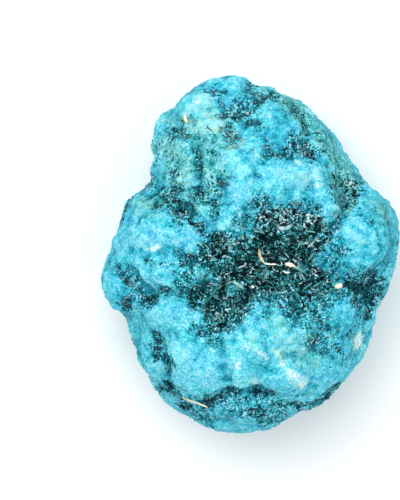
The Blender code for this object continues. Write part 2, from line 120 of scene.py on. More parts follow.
# where the markings lie. Each stroke: half width and strength, then the points it runs through,
# x and y in mm
markings = {
    "matrix": [
        # the basin: its darkest parts
        (1, 1, (1.3, 1.7), (2.6, 1), (3.9, 0.6)), (0.8, 0.82, (2.3, 3), (2.2, 2)),
        (0.5, 1, (2.9, 3.2), (3.4, 2.8)), (0.6, 0.95, (3.3, 0.4), (4.2, -0.9)),
        (0.5, 0.95, (3.7, 3.6), (2.4, 3.3), (1.6, 3.9)), (0.8, 0.95, (5.4, 2.6), (6.3, 2.6), (6.4, 3.2)),
        (0.8, 1, (4.6, 1.8), (5.8, 1.1), (6.3, 0.9)), (0.8, 1, (4.4, 0.4), (5.4, -0.5)),
        (1.2, 0.97, (-1.3, -1.4), (0.1, -1.6)), (0.8, 0.84, (-0.4, 0.3), (1, 0.4)),
        (0.9, 0.95, (1.8, -0.2), (3.2, -0.9)), (0.9, 0.95, (2.7, -2.2), (1.6, -3), (-0.2, -3.5)),
        (0.6, 0.95, (-0.4, -4.2), (-2, -4.7)), (0.55, 1, (6, -1.6), (6.9, -1.8)),
        (0.9, 0.85, (5.2, -2.8), (6.8, -3.2)), (0.6, 0.95, (5.2, -3.4), (5.5, -4.3)),
        (0.86, 1, (-3.6, 1.2), (-2.9, 0.9), (-3.2, 0)), (0.6, 0.6, (-2.2, 1.4), (-1.6, 1.2)),
        (0.5, 0.9, (-5, -0.4), (-3.9, -0.4)), (0.75, 0.92, (-5.9, -3.9), (-5.2, -4.2), (-5.4, -4.7)),
        (0.8, 0.95, (-3.8, -4.6), (-3.7, -5.7)), (0.5, 0.9, (-3.3, -6.3), (-2.6, -6.9)),
        (0.5, 0.9, (-2.8, -2.4), (-2.8, -3.6), (-4, -4.4)),
        # what lies between them
        (1.6, 0.8, (3, 2.6), (5.6, 1.8)), (1.1, 0.8, (1.6, 3.6), (5.2, 3.4)),
        (0.7, 0.68, (1.3, 5), (1.3, 3.6), (0.7, 2.2)), (0.5, 0.45, (4.8, 4.7), (4.7, 3.8)),
        (0.4, 0.55, (6, 4.9), (6.1, 4.4)), (1.6, 0.68, (-2.4, -0.6), (1.2, -2.4), (3.4, -2.2)),
        (0.8, 0.58, (-6.2, -3.6), (-3.6, -3.6)), (0.7, 0.74, (-3.2, -1.4), (-3, -2.6)),
        (1.4, 0.74, (-2.6, -5.4), (-1.2, -5.2)), (1, 0.74, (-3.6, -6.6), (-2.4, -6.8)),
        (1.3, 0.74, (3.6, -3.4), (5, -4.4)), (0.6, 0.74, (4.2, -5.2), (5, -5.6)),
        (1, 0.74, (6.6, -4), (7.6, -3.4)), (0.6, 0.55, (7.4, -2.2), (8.3, -2.4)),
        (0.9, 0.7, (6.6, 2.4), (7.2, 2)), (0.5, 0.5, (7.4, 2.6), (8.2, 2.9)),
        (0.6, 0.75, (-6.4, -0.6), (-5, -1)), (0.6, 0.66, (-7.4, -2.9), (-6.4, -2.4), (-5.9, -1.9)),
        (0.8, 0.66, (-4.4, 0.6), (-4.2, -0.8)), (0.8, 0.74, (-2.9, 1.4), (-1.8, 0.9), (-0.8, 1)),
        (0.8, 0.78, (0.6, -4), (2, -4.1)), (0.5, 0.8, (0.7, -4.2), (1.4, -4.2)),
        (0.5, 0.32, (0.9, -6.1), (1.4, -6)), (0.9, 0.3, (5.4, 0.7), (6.6, 0), (7.6, -0.6)),
        (0.9, 0.92, (3.2, 1), (5.4, 0.7)), (0.5, 0.6, (-7.2, -3.1), (-6.2, -3)),
        (0.6, 0.35, (10, 7.8), (11.2, 6.6)),
        # its speckled borders
        (1, 0.32, (-1.8, 2), (-1.2, 3), (0.2, 3.6)), (0.9, 0.36, (0.4, 5), (1.2, 5.4)),
        (0.8, 0.4, (1.2, 4.4), (4, 4.2), (5.6, 4.1)), (0.6, 0.4, (5, 5), (6.2, 5), (6.5, 4.4)),
        (0.9, 0.38, (7.8, 1.6), (8, 0.4), (8.1, -1)), (0.5, 0.55, (8.6, 0.6), (9.1, 0.1)),
        (0.4, 0.6, (8.5, 3.7), (8.6, 2.9)), (1, 0.45, (8.6, -3.6), (7, -4.8)),
        (0.9, 0.45, (1.6, -4.3), (3.2, -4.8), (4.4, -6.2)),
        (1.3, 0.38, (5.8, -5.2), (6.8, -7), (6.6, -8.8)), (1.6, 0.3, (7.4, -6.8), (7.2, -8.6)),
        (0.8, 0.36, (6, -8.7), (6.8, -8.3)), (1.3, 0.18, (8.2, -9.4), (8.6, -10.8)),
        (0.3, 0.6, (6.4, -5.9), (7.2, -6.8)), (0.4, 0.75, (6.4, -8.3), (5.8, -8.8)),
        (0.8, 0.45, (-5.2, -7.4), (-4, -7.4), (-3.8, -8.6)),
        (0.6, 0.3, (-7.2, 0), (-6.8, -1.6), (-7.2, -3), (-7, -4)),
        # the dark slope on the right
        (0.6, 0.95, (9.8, -2.9), (10.6, -3.4)), (0.8, 0.76, (11.3, -3.4), (12.5, -2.9)),
        (0.8, 0.88, (11.9, -4.2), (12, -4.8)), (0.9, 0.54, (10, -2.5), (12.2, -2.5)),
        (0.6, 0.74, (12.8, -3.4), (12.3, -5), (11.7, -6)), (0.7, 0.6, (10.2, -3.9), (10.4, -4.6)),
        (0.7, 0.3, (9.6, -1.9), (11.6, -1.5), (13.2, -1.4)), (0.5, 0.28, (10.6, -5.8), (11, -6.8)),
        (0.5, 0.5, (8.6, -9.2), (8.9, -9.5)), (0.4, 0.4, (9.8, -8.1), (9.9, -8.2)),
        # the valley and the crack between the left lobe and the slope above it
        (0.5, 0.85, (-7.7, 5.5), (-7.4, 5.3)), (0.3, 0.8, (-7.4, 6), (-7.3, 5.9)),
        (0.5, 0.8, (-7.3, 3.8), (-7, 4.4)), (0.7, 0.6, (-8.4, 5.9), (-7.8, 5.2), (-7.3, 4.2)),
        (0.4, 0.8, (-7.8, 6.5), (-7.2, 6.2)), (0.5, 0.5, (-7.3, 3.6), (-6.4, 3.7)),
        (0.2, 0.85, (-6.6, 4.1), (-6, 3.4), (-5.1, 2.8), (-4.7, 2)), (0.4, 0.4, (-7.5, 3.2), (-6.8, 2.8)),
        (0.6, 0.25, (-6.8, 5), (-5.6, 3.8), (-4.9, 2.8)), (0.5, 0.4, (-9.4, 4.9), (-8.4, 4.9)),
        (0.5, 0.4, (-9.9, 7.7), (-10.1, 6.8)), (0.4, 0.5, (-7.9, 8.1), (-7.8, 7)),
        (0.2, 0.8, (-7.8, 7.9), (-7.6, 7.9)),
        # the speckled slope
        (2, 0.22, (-7.6, 11.6), (-6.8, 8.6), (-5.4, 6.4)),
        (1.6, 0.22, (-4.4, 11), (-3.8, 8.4), (-3.2, 5.4)), (0.7, 0.45, (-2.5, 12.3), (-1.6, 11.3)),
        (0.4, 0.8, (-5.2, 6.4), (-4.8, 5.8)), (0.3, 0.8, (-3.9, 5.4), (-3.5, 4.8)),
        (0.8, 0.42, (-6.2, 5), (-4, 6), (-2.9, 6.9)), (0.5, 0.4, (-3.6, 4.6), (-3.8, 3.6)),
        (0.35, 0.6, (-4.1, 4.1), (-3.9, 3.9)), (0.4, 0.35, (-6.2, 13.1), (-5.7, 13)),
        (0.25, 0.36, (-5.4, 10.8), (-5.4, 9.2), (-5, 8), (-5.1, 6.8)),
        (0.2, 0.8, (-5.5, 9.8), (-5.3, 9.4)), (0.2, 0.8, (-5.1, 8.1), (-5, 7.8)),
        (0.3, 0.7, (-4.2, 10.4), (-4, 9.9)), (0.5, 0.42, (-1.3, 4.2), (-1.2, 2.6)),
        (0.6, 0.5, (-8.1, 11.9), (-6.8, 12.2)), (0.35, 0.5, (-7.8, 9.7), (-7.7, 9.5)),
        # the narrow end
        (0.4, 0.75, (-1.7, 13.7), (-0.7, 13.8), (0, 14.4)), (0.35, 0.5, (-3, 13.7), (-1.8, 14)),
        (0.9, 0.45, (-1, 15), (0, 14.6)), (0.4, 0.75, (0.4, 15.9), (0.6, 15.4)),
        (0.7, 0.42, (0.2, 16.8), (0.4, 15.4)), (0.35, 0.5, (1, 15.9), (2.6, 15.6)),
        (0.4, 0.48, (0, 13), (0.7, 12.6)), (0.25, 0.7, (0.4, 14.8), (1.2, 15.3), (2.2, 16.1)),
        (0.22, 0.6, (-4.1, 16.4), (-3.3, 15.9), (-2.6, 16.2)),
        (0.22, 0.4, (-3.1, 15.8), (-2.9, 14.9), (-2.2, 14.3), (-1.5, 14.6)),
        # right of the ridges, and along the right shoulder
        (0.35, 0.5, (1.6, 11.2), (1.7, 10.4), (1.9, 9.7), (3.6, 9.8)),
        (0.5, 0.7, (4.1, 10.9), (5.2, 10.5)), (0.8, 0.5, (4.2, 11.3), (5.4, 10.4), (3.8, 10.2)),
        (0.3, 0.8, (5.9, 9.8), (6.1, 9.9)), (0.4, 0.5, (6.4, 10.4), (7.6, 10.4)),
        (0.4, 0.5, (4.1, 14.6), (5, 14), (5.5, 13), (5.4, 11.9)), (0.3, 0.4, (6.5, 12.3), (6.7, 11.7)),
        (0.9, 0.24, (4, 15), (6.2, 12.8), (8.2, 9.6), (9.4, 8)), (0.4, 0.8, (9.8, 6.7), (10.4, 6.3)),
        (0.6, 0.42, (8.2, 6.6), (8.7, 5.6), (9.4, 4.8)), (0.8, 0.34, (8.7, 7.8), (9.8, 6.8), (9.8, 5.4)),
        (0.4, 0.25, (12.9, 4.8), (13.5, 3.6)), (0.45, 0.5, (9.9, 7.4), (10.3, 6.2), (10.2, 5)),
        (0.35, 0.7, (9.3, 5.4), (9.5, 5)), (0.5, 0.36, (10.2, 6), (9.8, 5)),
        (0.35, 0.45, (11.8, 3.5), (12, 3.4)), (0.5, 0.85, (9.8, 7.2), (10.4, 6.7), (10.3, 6)),
        (0.4, 0.3, (10.9, 4.2), (11.2, 3.9)),
        # left shoulder, along the outline
        (0.3, 0.3, (-9.2, 11), (-9.3, 9.2), (-9.8, 7.4), (-10.8, 6.2)),
        (0.28, 0.45, (-12, 5.6), (-12.6, 4.4), (-13.2, 3)),
        # left rim, and the seams under the left lobe
        (0.5, 0.72, (-12.5, -2.5), (-11.8, -2.6)), (0.42, 0.66, (-11.2, -3.4), (-10.9, -4.2)),
        (0.5, 0.72, (-10.6, -4.8), (-10, -4.4)), (0.3, 0.6, (-9.6, -4.2), (-8.8, -3.6)),
        (0.4, 0.7, (-12.3, -5), (-12.1, -5.5)), (0.45, 0.36, (-13.1, -1.4), (-12.2, -1.9), (-11.4, -2.4)),
        (0.45, 0.45, (-12.2, -3.2), (-11.7, -3.9), (-12.2, -4.8)),
        (0.35, 0.45, (-8.6, -3.5), (-7.6, -3.5)), (0.3, 0.5, (-10.4, -0.6), (-9.4, -0.8), (-8, -0.8)),
        # lower left
        (0.4, 0.62, (-9.3, -8), (-9.3, -8.9), (-9.4, -10.2)),
        (0.4, 0.68, (-9.4, -10.2), (-8.6, -10.3), (-8.1, -10.8)), (0.3, 0.35, (-8.2, -11.2), (-8.3, -12)),
        (0.5, 0.9, (-8.5, -13.1), (-7.7, -13.7)), (0.35, 0.8, (-7.4, -14), (-6.9, -14.4)),
        (0.45, 0.85, (-6.5, -15.1), (-6.1, -15.1)), (0.5, 0.35, (-9.7, -9.2), (-9.8, -10.4)),
        (0.5, 0.5, (-7, -14.6), (-5.6, -14.6), (-5.8, -15.6)),
        # under the broad lump, along the ledge and the rim
        (0.45, 0.64, (-4.7, -15.3), (-4.5, -14.5), (-3.2, -14.2), (-2.4, -14.4)),
        (0.4, 0.62, (-2, -13.6), (-1.4, -13.8)), (0.45, 0.62, (0.1, -13.6), (0.8, -13.6)),
        (0.4, 0.8, (1.5, -13.7), (2, -13.8)), (0.5, 0.8, (0.4, -15.8), (1, -15.4), (1.4, -15.8)),
        (1.1, 0.38, (-3.8, -14.5), (-1, -14.7), (2, -14.9), (2.8, -15.2)),
        (0.8, 0.42, (-2.2, -15.7), (0, -15.6)), (1, 0.42, (1.6, -16.4), (3, -16.2)),
        (0.6, 0.45, (-5.2, -16), (-3.8, -16.4)), (0.25, 0.7, (3, -15), (5, -15.1), (6, -14.9)),
        (0.4, 0.6, (5.4, -15.3), (6.6, -14.9), (7.8, -14.2)),
        (0.38, 0.8, (7.3, -14.4), (8.2, -13.7), (8.9, -13)),
    ],
    # paler places: partly the stone's own paler colour, partly painted light on lump tops and in creases that
    # lie in shade
    "pale": [
        (1.1, 0.5, (-5.2, 15.2), (-4.4, 14.2), (-3.9, 13.8)), (0.7, 0.6, (-4.8, 12.6), (-3.4, 12.6)),
        (0.7, 0.7, (-0.6, 11.4), (0, 10.6)), (1, 0.7, (-2.2, 9.4), (-1.4, 8), (-1.2, 6.4)),
        (0.7, 0.6, (-0.4, 7), (0, 6.2)), (0.9, 0.75, (2.2, 7.6), (4.6, 7.4), (6, 7.7)),
        (0.6, 0.5, (2.6, 8.6), (4.6, 8.6)), (0.4, 0.5, (7.4, 5), (7.6, 4.4)),
        (0.4, 0.7, (-2.4, 3.6), (-2.3, 3.2)), (0.7, 0.75, (-6.5, 7.7), (-6.5, 7.5)),
        (0.5, 0.8, (-11.8, 0.4), (-10.4, 0.2), (-8.3, 0.3), (-6.2, -0.2)),
        (0.5, 0.7, (-2.3, -8.6), (-2.3, -10.4), (-2.2, -12.8)), (0.6, 0.5, (-4.7, 10.9), (-4.6, 9.6)),
        (0.7, 0.6, (5.8, 6.6), (6.4, 6.2)), (0.7, 0.5, (4.2, -10.2), (5.2, -9.6)),
        (0.6, 0.5, (-8.3, -4.2), (-7.6, -3.9)), (0.7, 0.5, (-10.6, -1.2), (-9.4, -1.5)),
        (0.25, 0.9, (-9.6, 0.5), (-9.4, 0.4)), (0.9, 0.8, (-9.2, -6.3), (-7.4, -6.6), (-5.8, -6.3)),
        (0.9, 0.6, (-7.4, -9.2), (-6.6, -9.8)), (1.1, 0.6, (-6.4, -11.6), (-4.6, -12), (-4.2, -10.2)),
        (0.8, 0.6, (-1.8, -10.4), (-1.4, -12.2), (0.2, -12.4)),
        (0.9, 0.7, (-1.2, -7.8), (0.2, -8.6), (0.8, -9.6)), (0.8, 0.8, (2, -7), (2.6, -8), (2.8, -9.6)),
        (0.6, 0.75, (3.2, -11), (4.2, -12), (5, -12.8)),
        (0.3, 1, (3.6, -11.1), (4.4, -11.9), (5.2, -12.7)), (0.4, 0.4, (4.4, -8.1), (4.8, -8.2)),
        (0.4, 0.8, (2, -9.8), (2.6, -10)), (0.35, 0.8, (0.3, -12.4), (0.9, -12.7)),
        (0.4, 0.7, (0.3, -5.4), (0.3, -5.9)), (0.7, 0.5, (10.8, 2.8), (10.3, 1.6), (11.4, 1)),
        (0.3, 1, (10.9, -8.2), (10.7, -9.2)), (0.4, 0.5, (1.4, 13.9), (1.8, 13.8)),
        (0.8, 0.4, (-8.8, 10), (-8.6, 8.6)), (1.3, 0.35, (-7.9, 11.2), (-7.4, 9)),
        (0.5, 0.8, (-2.8, 8.1), (-2, 8)), (0.7, 0.6, (4.8, 6.5), (6.2, 6.6)),
        (0.7, 0.5, (9.3, 1.2), (10.2, 0.6)), (1.2, 0.55, (-13, 0.8), (-11.6, 0.4)),
        (0.6, 0.9, (-9.6, 1.3), (-8.6, 1)), (0.6, 0.9, (3.8, -9.9), (5, -10.2)),
        (1.2, 0.5, (6.2, -11), (8, -10.6)), (0.8, 0.5, (6, -12.2), (6.4, -13.2)),
        (0.6, 0.7, (-3.1, -8.6), (-3, -11), (-2.8, -13.2)), (0.9, 0.6, (-8.6, -6.9), (-8, -8.6)),
        (0.8, 0.6, (-8.2, -11.2), (-8.2, -12)), (0.7, 0.5, (-6.2, -11), (-6.2, -13)),
        (0.6, 0.5, (-8.6, 13), (-8, 13)), (0.7, 0.6, (-1.6, -13.2), (0.4, -12.9)),
        (0.5, 0.7, (-5.1, 12), (-4.9, 10.4), (-4.9, 9)), (0.6, 0.6, (-6, 12.1), (-4.4, 12.1)),
        (0.5, 0.6, (-2.4, 13), (-1.6, 12.4)), (0.7, 0.8, (-2.4, 8.2), (-2.1, 7.2)),
        (0.5, 0.6, (-2.4, 5.6), (-2.1, 5)), (0.5, 0.8, (-4.2, 2.9), (-3.8, 2.1)),
        (0.4, 0.6, (-7.2, 9.5), (-6.6, 9.4)), (0.35, 0.7, (-4.8, 6.9), (-4.6, 6.6)),
        (0.6, 0.6, (-6.2, 4.9), (-5.6, 4.2)), (0.8, 0.9, (5.2, 6.4), (6.1, 7)),
        (0.5, 0.7, (8.9, 7), (9.1, 5.8)), (0.5, 0.5, (9.4, 4), (9.1, 3.2)),
        (0.6, 0.5, (8.2, 9.3), (8.8, 8.2)), (0.5, 0.5, (8.2, 3), (8.3, 2.2)),
        (0.8, 0.8, (4, -10.2), (4.9, -10.3)), (0.6, 0.9, (1.9, -6.6), (2.5, -7.2)),
        (0.5, 0.8, (0.2, -12.2), (0.9, -12.5)), (0.6, 0.6, (6.1, -12.4), (6.3, -13.3)),
        (0.7, 0.6, (-3.2, -11.8), (-1.8, -12.2)), (0.8, 0.7, (3.2, -14.9), (5, -14.6)),
        (0.6, 0.6, (-6.2, -11.2), (-6, -12.6)), (0.6, 0.7, (-9, 1.2), (-8, 0.9)),
        (0.8, 0.5, (-12.2, 0.6), (-11.4, -0.6)), (0.6, 0.6, (-11.2, -1.8), (-10.2, -1.2)),
        (0.5, 0.6, (-10.2, -3), (-9.8, -3.6)), (0.7, 0.6, (-11.6, -6.2), (-11.2, -7.4)),
        (0.7, 0.6, (-8.8, -7), (-8.4, -8.8)), (0.6, 0.5, (-3, 15.2), (-2.2, 15)),
        (0.6, 0.9, (10.3, 1.1), (9.8, 0)), (0.5, 1, (8.9, 6.8), (9.1, 5.9)),
        (0.6, 0.8, (-2.9, -11.6), (-2.1, -12.4)), (1.8, 0.4, (-11, 2), (-9, 2.6), (-7, 1.8)),
        (0.5, 0.6, (8.8, 7), (9.1, 5.8)), (1, 0.4, (5.6, -11.8), (6.8, -12.6)),
        (1, 0.3, (-1, -15.8), (1.5, -16)), (0.8, 0.3, (8.2, 10), (9.4, 8.8)),
        (0.7, 0.5, (-7.2, -12.2), (-6.8, -13.4)), (0.5, 0.5, (-3.6, -13.4), (-2.8, -14)),
        (0.6, 0.5, (-5.2, 9.6), (-4.9, 8.6)), (0.6, 0.5, (-9.2, -6.8), (-8.2, -7.4)),
        (0.6, 0.5, (-3.2, -7.8), (-3.1, -9.2)), (0.5, 0.5, (-1.4, -7.1), (-0.8, -7)),
        (0.5, 0.5, (8.9, 1.2), (9.8, 1)), (0.4, 0.5, (7.8, 2.2), (7.2, 3)),
        (0.5, 0.5, (-4.8, 12), (-3.4, 12)), (0.6, 0.5, (-11, -0.4), (-10, -1)),
        (0.4, 0.4, (-11.2, -2), (-10.8, -2)),
    ],
    # deeper blue: partly the stone's own colour, partly painted shade along the rims
    "deep": [
        (1.3, 1, (6.2, 0.4), (6.8, -0.6), (8, -1.2)), (0.8, 0.5, (1.8, 15.2), (2.8, 14.8)),
        (0.6, 0.5, (11.4, 4.4), (12, 4)), (0.8, 0.2, (9.4, -1), (9, 0.6)),
        (1.2, 0.3, (9.6, -7.4), (9.8, -9)), (1.3, 0.15, (8.2, -10.4), (8.6, -12)),
        (0.9, 0.45, (13.4, 5.2), (13, 4), (13.6, 1.6), (13.4, -0.4)), (0.7, 0.4, (12, 4), (12.2, 3.2)),
        (0.9, 0.25, (7.6, 9.6), (8.8, 9.4)), (0.9, 0.3, (7, 12.9), (8, 11.6)),
        (0.8, 0.55, (2.4, 10.9), (3.2, 12.6), (3.6, 13.6)), (0.4, 0.5, (-2.3, 15.4), (-2.1, 15.2)),
        (0.7, 0.2, (-3.3, 14.4), (-3.6, 16)), (0.8, 0.45, (-2.2, 12.2), (-2, 11.2)),
        (0.6, 0.4, (-7.2, 14), (-7.2, 13.2)), (1, 0.5, (-11, -7.4), (-11.2, -9.4)),
        (0.8, 0.55, (-13.6, -0.6), (-13.2, -2.6), (-13.2, -4.4), (-12.6, -6.2)),
        (0.5, 0.5, (-12.4, 3.6), (-11.6, 4.6)), (0.7, 0.5, (-10.2, 5.4), (-9.4, 5.8)),
        (0.5, 0.4, (-8.2, 3.4), (-8.4, 4.2)), (0.8, 0.25, (-10.2, 3.4), (-8.8, 3.1)),
        (0.6, 0.5, (-4.2, 4.2), (-3.4, 3.9)), (0.5, 0.6, (0.9, -6.3), (1.3, -5.8)),
        (0.5, 0.45, (-5.4, -9.6), (-5.2, -9.9)), (0.5, 0.2, (-3.8, -9), (-1.8, -8.6)),
        (0.5, 0.4, (1.6, -8.3), (2.4, -8.5)), (0.5, 0.5, (0.4, -11.3), (1, -11)),
        (0.4, 0.5, (1.5, -12.4), (1.6, -11.8), (2.6, -11.6)), (0.6, 0.6, (0.6, -6.2), (1.4, -6)),
        (0.6, 0.6, (-5.9, -7), (-4.9, -6.8)), (0.5, 0.5, (-6.1, -8.2), (-6, -8.8)),
        (0.4, 0.5, (-6.1, 13.2), (-5.5, 13)), (0.6, 0.5, (-7, 11.2), (-6.2, 11)),
        (0.5, 0.5, (-4.1, 10.1), (-3.9, 9.9)), (0.6, 0.5, (0, 12.2), (1, 12)),
        (0.5, 0.35, (-1, 7.2), (0, 7)), (0.5, 0.5, (5, 9), (5, 8.3)),
        (0.5, 0.5, (5.9, -8.7), (6.6, -8.7)), (0.5, 0.4, (-6.1, 8), (-6, 7.2)),
        (0.5, 0.5, (-4.2, 5), (-4.1, 4)), (0.4, 0.5, (-3.2, 4.6), (-2.6, 4.4)),
        (0.5, 0.5, (-7.8, 3.6), (-6.6, 3.5)), (0.4, 0.5, (-6.8, 8.8), (-6.2, 8.8)),
        (0.7, 0.5, (11.2, 5), (11.6, 3.8)), (0.5, 0.7, (1.7, -8.2), (2.5, -8.5)),
        (0.4, 0.4, (3.9, -8.4), (4, -9)), (0.5, 0.6, (3.5, -6.5), (4.1, -6.8)),
        (0.5, 0.3, (-0.8, -6.3), (0, -6.6)), (0.5, 0.5, (-8, -5), (-7, -5.1)),
        (0.9, 0.35, (-6.6, -3.2), (-6.4, -5.6)), (0.5, 0.5, (3.9, -8.8), (5.2, -8.8)),
        (0.5, 0.5, (1.8, -7.9), (2.4, -8.1)), (0.5, 0.4, (-9.2, 3.1), (-8.8, 3)),
        (0.5, 0.6, (1.8, 14.9), (2.4, 14.4)), (0.5, 0.5, (-5.2, -1), (-4.6, -0.8)),
        (0.6, 0.6, (7.6, 0.6), (8.2, 0)), (0.7, 0.6, (1.2, 15.2), (2.4, 15)),
        (0.6, 0.7, (0.8, -6), (1.4, -5.8)), (0.5, 0.6, (-5.6, -7), (-4.8, -7.1)),
        (0.5, 0.5, (-4.3, 4.5), (-3, 4.3)), (0.6, 0.4, (7.4, 6.4), (7.8, 5.6)),
        (0.6, 0.5, (-6.2, 16), (-5.6, 16.3)), (0.5, 0.5, (-6, 13.3), (-5.4, 13.1)),
        (0.5, 0.4, (-1, 9.2), (-0.8, 10)),
    ],
    "green": [
        (0.7, 0.9, (-10.6, 5.2), (-9.2, 5.2), (-8.2, 5.6)), (0.8, 0.6, (-8.4, 5.8), (-7.2, 4.4)),
        (1.5, 0.75, (-8.2, 10.6), (-7, 8.8), (-7.2, 7.2)),
        (1.3, 0.7, (-6.6, 12.8), (-5.2, 11.6), (-2.8, 11.6)),
        (1.4, 0.65, (-4.4, 9.8), (-3.8, 7.6), (-5, 5.6)), (1, 0.5, (-11, 4.8), (-9.6, 4.4)),
        (1, 0.5, (12.6, 4.6), (13.4, 3.4)), (0.6, 0.7, (-3.6, 13.4), (-2.6, 12.7)),
        (0.9, 0.5, (-9.6, -8.6), (-9.2, -10.2)),
        (1, 0.8, (3.8, 15.2), (6.4, 12.6), (8.4, 9.8), (9.6, 7.8)), (0.7, 0.5, (1, 16.4), (3, 15.8)),
        (1.3, 0.4, (5.4, -9.2), (6.4, -10.4)), (1, 0.4, (6.4, -5.4), (8.2, -7.6)),
        (0.8, 0.5, (-7.4, 12.4), (-8.2, 13.6)), (0.8, 0.5, (2, -5.8), (3, -6.6)),
        (0.6, 0.4, (-12.2, -5.2), (-11.6, -5.6)), (0.5, 0.7, (0.6, 16), (1, 15.2)),
        (1.4, 0.35, (3.6, -9), (4.8, -9.6)), (0.5, 0.6, (5.6, -8.2), (6.2, -8.4)),
        (1, 0.9, (8.8, 7.6), (9.9, 6.5), (9.4, 5)), (0.6, 0.6, (12.8, 5), (13.6, 3.6)),
    ],
    "azure": [
        (2.2, 1, (-12, 1.6), (-9.4, 2.4), (-7, 2)), (1, 0.8, (-13.6, -2.4), (-13.2, -4.4)),
        (1.4, 1, (10.4, 3), (11.2, 1), (11.4, -0.6)), (1.6, 1, (6.6, -0.4), (7.2, 0.8), (8.6, 1.2)),
        (1.6, 0.7, (9.6, -6), (9.4, -8.6)), (1.2, 0.7, (3, 12), (4, 13.4)),
        (1.2, 0.8, (-3.8, 16), (-1.8, 15.6)), (1.2, 0.6, (3, -12.6), (6, -13.6)),
        (1.2, 0.5, (-5.4, -10), (-4.6, -12)),
    ],
    "ochre": [
        (0.8, 0.65, (-2.3, 12), (-1.7, 11.2)), (0.35, 0.6, (-3.3, 12.6), (-3, 12.4)),
        (0.3, 0.7, (-3, 6.9), (-2.7, 6.8)), (0.25, 0.7, (-7.9, 9.7), (-7.7, 9.6)),
        (0.3, 0.6, (-5.3, -4.3), (-5.1, -4.1)), (0.2, 0.8, (3.1, -10.4), (3.3, -10.6)),
        (0.2, 0.5, (1.8, 11.3), (2, 11)),
    ],
    "cream": [
        (0.9, 0.5, (-5, 15.2), (-4.2, 14.6)), (0.5, 0.6, (-6, 14.6), (-5.6, 14)),
        (0.5, 0.9, (-4.4, 13.8), (-4, 13.7)), (0.8, 0.6, (-4.7, 12.9), (-3.4, 12.8)),
        (0.4, 1, (-3.1, 12.7), (-2.8, 12.4)), (0.5, 0.8, (-6.7, 13.6), (-6.3, 13.2)),
        (0.6, 0.4, (-8.2, 10.4), (-7.4, 10.2)), (0.7, 0.4, (-7, 7.6), (-6.3, 7.6)),
        (0.5, 0.7, (3.4, -11), (4.8, -12.6)), (0.45, 0.9, (2.7, -9.6), (3.3, -10.3)),
        (0.4, 0.6, (5.6, -13.8), (6.1, -13.9)), (0.5, 0.5, (4.2, 7.7), (5.2, 7.5)),
        (0.5, 0.4, (2.2, 8.3), (3, 8)), (0.5, 0.4, (0, -8.4), (0.6, -9.2)),
        (1, 0.4, (2.6, -7.2), (4.4, -8.6), (5.4, -9.4)), (0.5, 0.7, (10.9, -8.2), (10.5, -9.1)),
        (0.7, 0.35, (8.9, 7.4), (9.4, 6.4), (9.2, 5)), (0.4, 0.4, (12.9, 4.8), (13.6, 3.6)),
    ],
    "white": [
        (0.36, 1, (-9.75, 0.48), (-9.3, 0.5)), (0.14, 1, (8.2, 2.3), (8.4, 2.3)),
        (0.36, 1, (10.9, -8.2), (10.7, -9)), (0.34, 0.75, (3.3, -10.8), (4.2, -11.7), (5.1, -12.7)),
        (0.3, 0.6, (-1.4, -10.8), (-1.3, -11.1)), (0.25, 0.5, (-0.6, -9), (-0.4, -9.2)),
        (0.22, 0.6, (-3.9, -9.4), (-3.7, -9.6)), (0.2, 0.8, (6.6, 6.95), (6.8, 6.85)),
        (0.15, 0.8, (6.2, 7.75), (6.4, 7.65)), (0.15, 0.8, (4.6, 8.95), (4.8, 8.85)),
        (0.15, 0.8, (1.7, 13.65), (1.95, 13.55)), (0.16, 0.8, (-4.6, 15.85), (-4.2, 15.6)),
        (0.2, 0.7, (-5.8, 15.3), (-5.4, 15.15)), (0.14, 0.9, (0.3, -5.4), (0.45, -5.4)),
        (0.24, 0.8, (1, -9.8), (1.3, -9.9)), (0.26, 0.7, (0.2, -12.4), (0.7, -12.6)),
        (0.12, 0.9, (11.45, 0.9), (11.6, 0.85)), (0.2, 0.8, (0.2, 10.3), (0.4, 10.2)),
        (0.15, 0.8, (2.7, -9.6), (2.9, -9.8)),
    ],
    "rubble": [
        (1.3, 1, (1.2, 3.8), (3.4, 3.9), (5.4, 3.5)), (1, 0.8, (0.6, 5), (1.2, 4.2)),
        (0.9, 0.7, (-1.4, 2), (-0.8, 3.6)), (0.9, 0.8, (4.6, 10.9), (6.2, 10.2)),
        (1.1, 0.6, (8.8, 7.6), (9.8, 6.4), (9.3, 4.9)), (0.8, 0.6, (-3.6, -6.6), (-2.8, -6.4)),
        (0.7, 0.8, (-1.3, 14.8), (-0.8, 13.4)), (1.2, 0.7, (7, 1.4), (7.4, -0.8)),
        (0.6, 0.8, (8.4, 3.8), (8.4, 2.8)), (0.9, 0.6, (-8.2, 6), (-7.2, 4.2)),
        (0.5, 0.5, (-6.6, 4), (-4.8, 2.4)), (1.3, 0.45, (-5.2, 8.4), (-4.6, 6.4), (-3.4, 5)),
        (1, 0.35, (6, -5.4), (6.8, -8)),
    ],
    "flaky": [
        (1.5, 1, (-2.6, -2.6), (0.4, -2.2), (3.4, -2), (5.4, -1.8)),
        (2.2, 0.6, (-3.4, -3.2), (0.2, -1.6), (3.6, 1.6), (5.6, 2.4)),
        (0.9, 0.9, (1.4, 0.6), (3.6, 0.2), (5.6, 0.8)), (1.2, 0.9, (-3.6, 0.4), (-1, 0.4)),
        (1.2, 0.8, (-3.6, -5.4), (-1.4, -5)), (1, 0.7, (5.2, -3.2), (6.8, -3)),
        (0.7, 0.5, (-4.4, -4.6), (-2.8, -4.4)), (0.7, 0.7, (-5.2, -4.2), (-4.8, -4)),
    ],
}


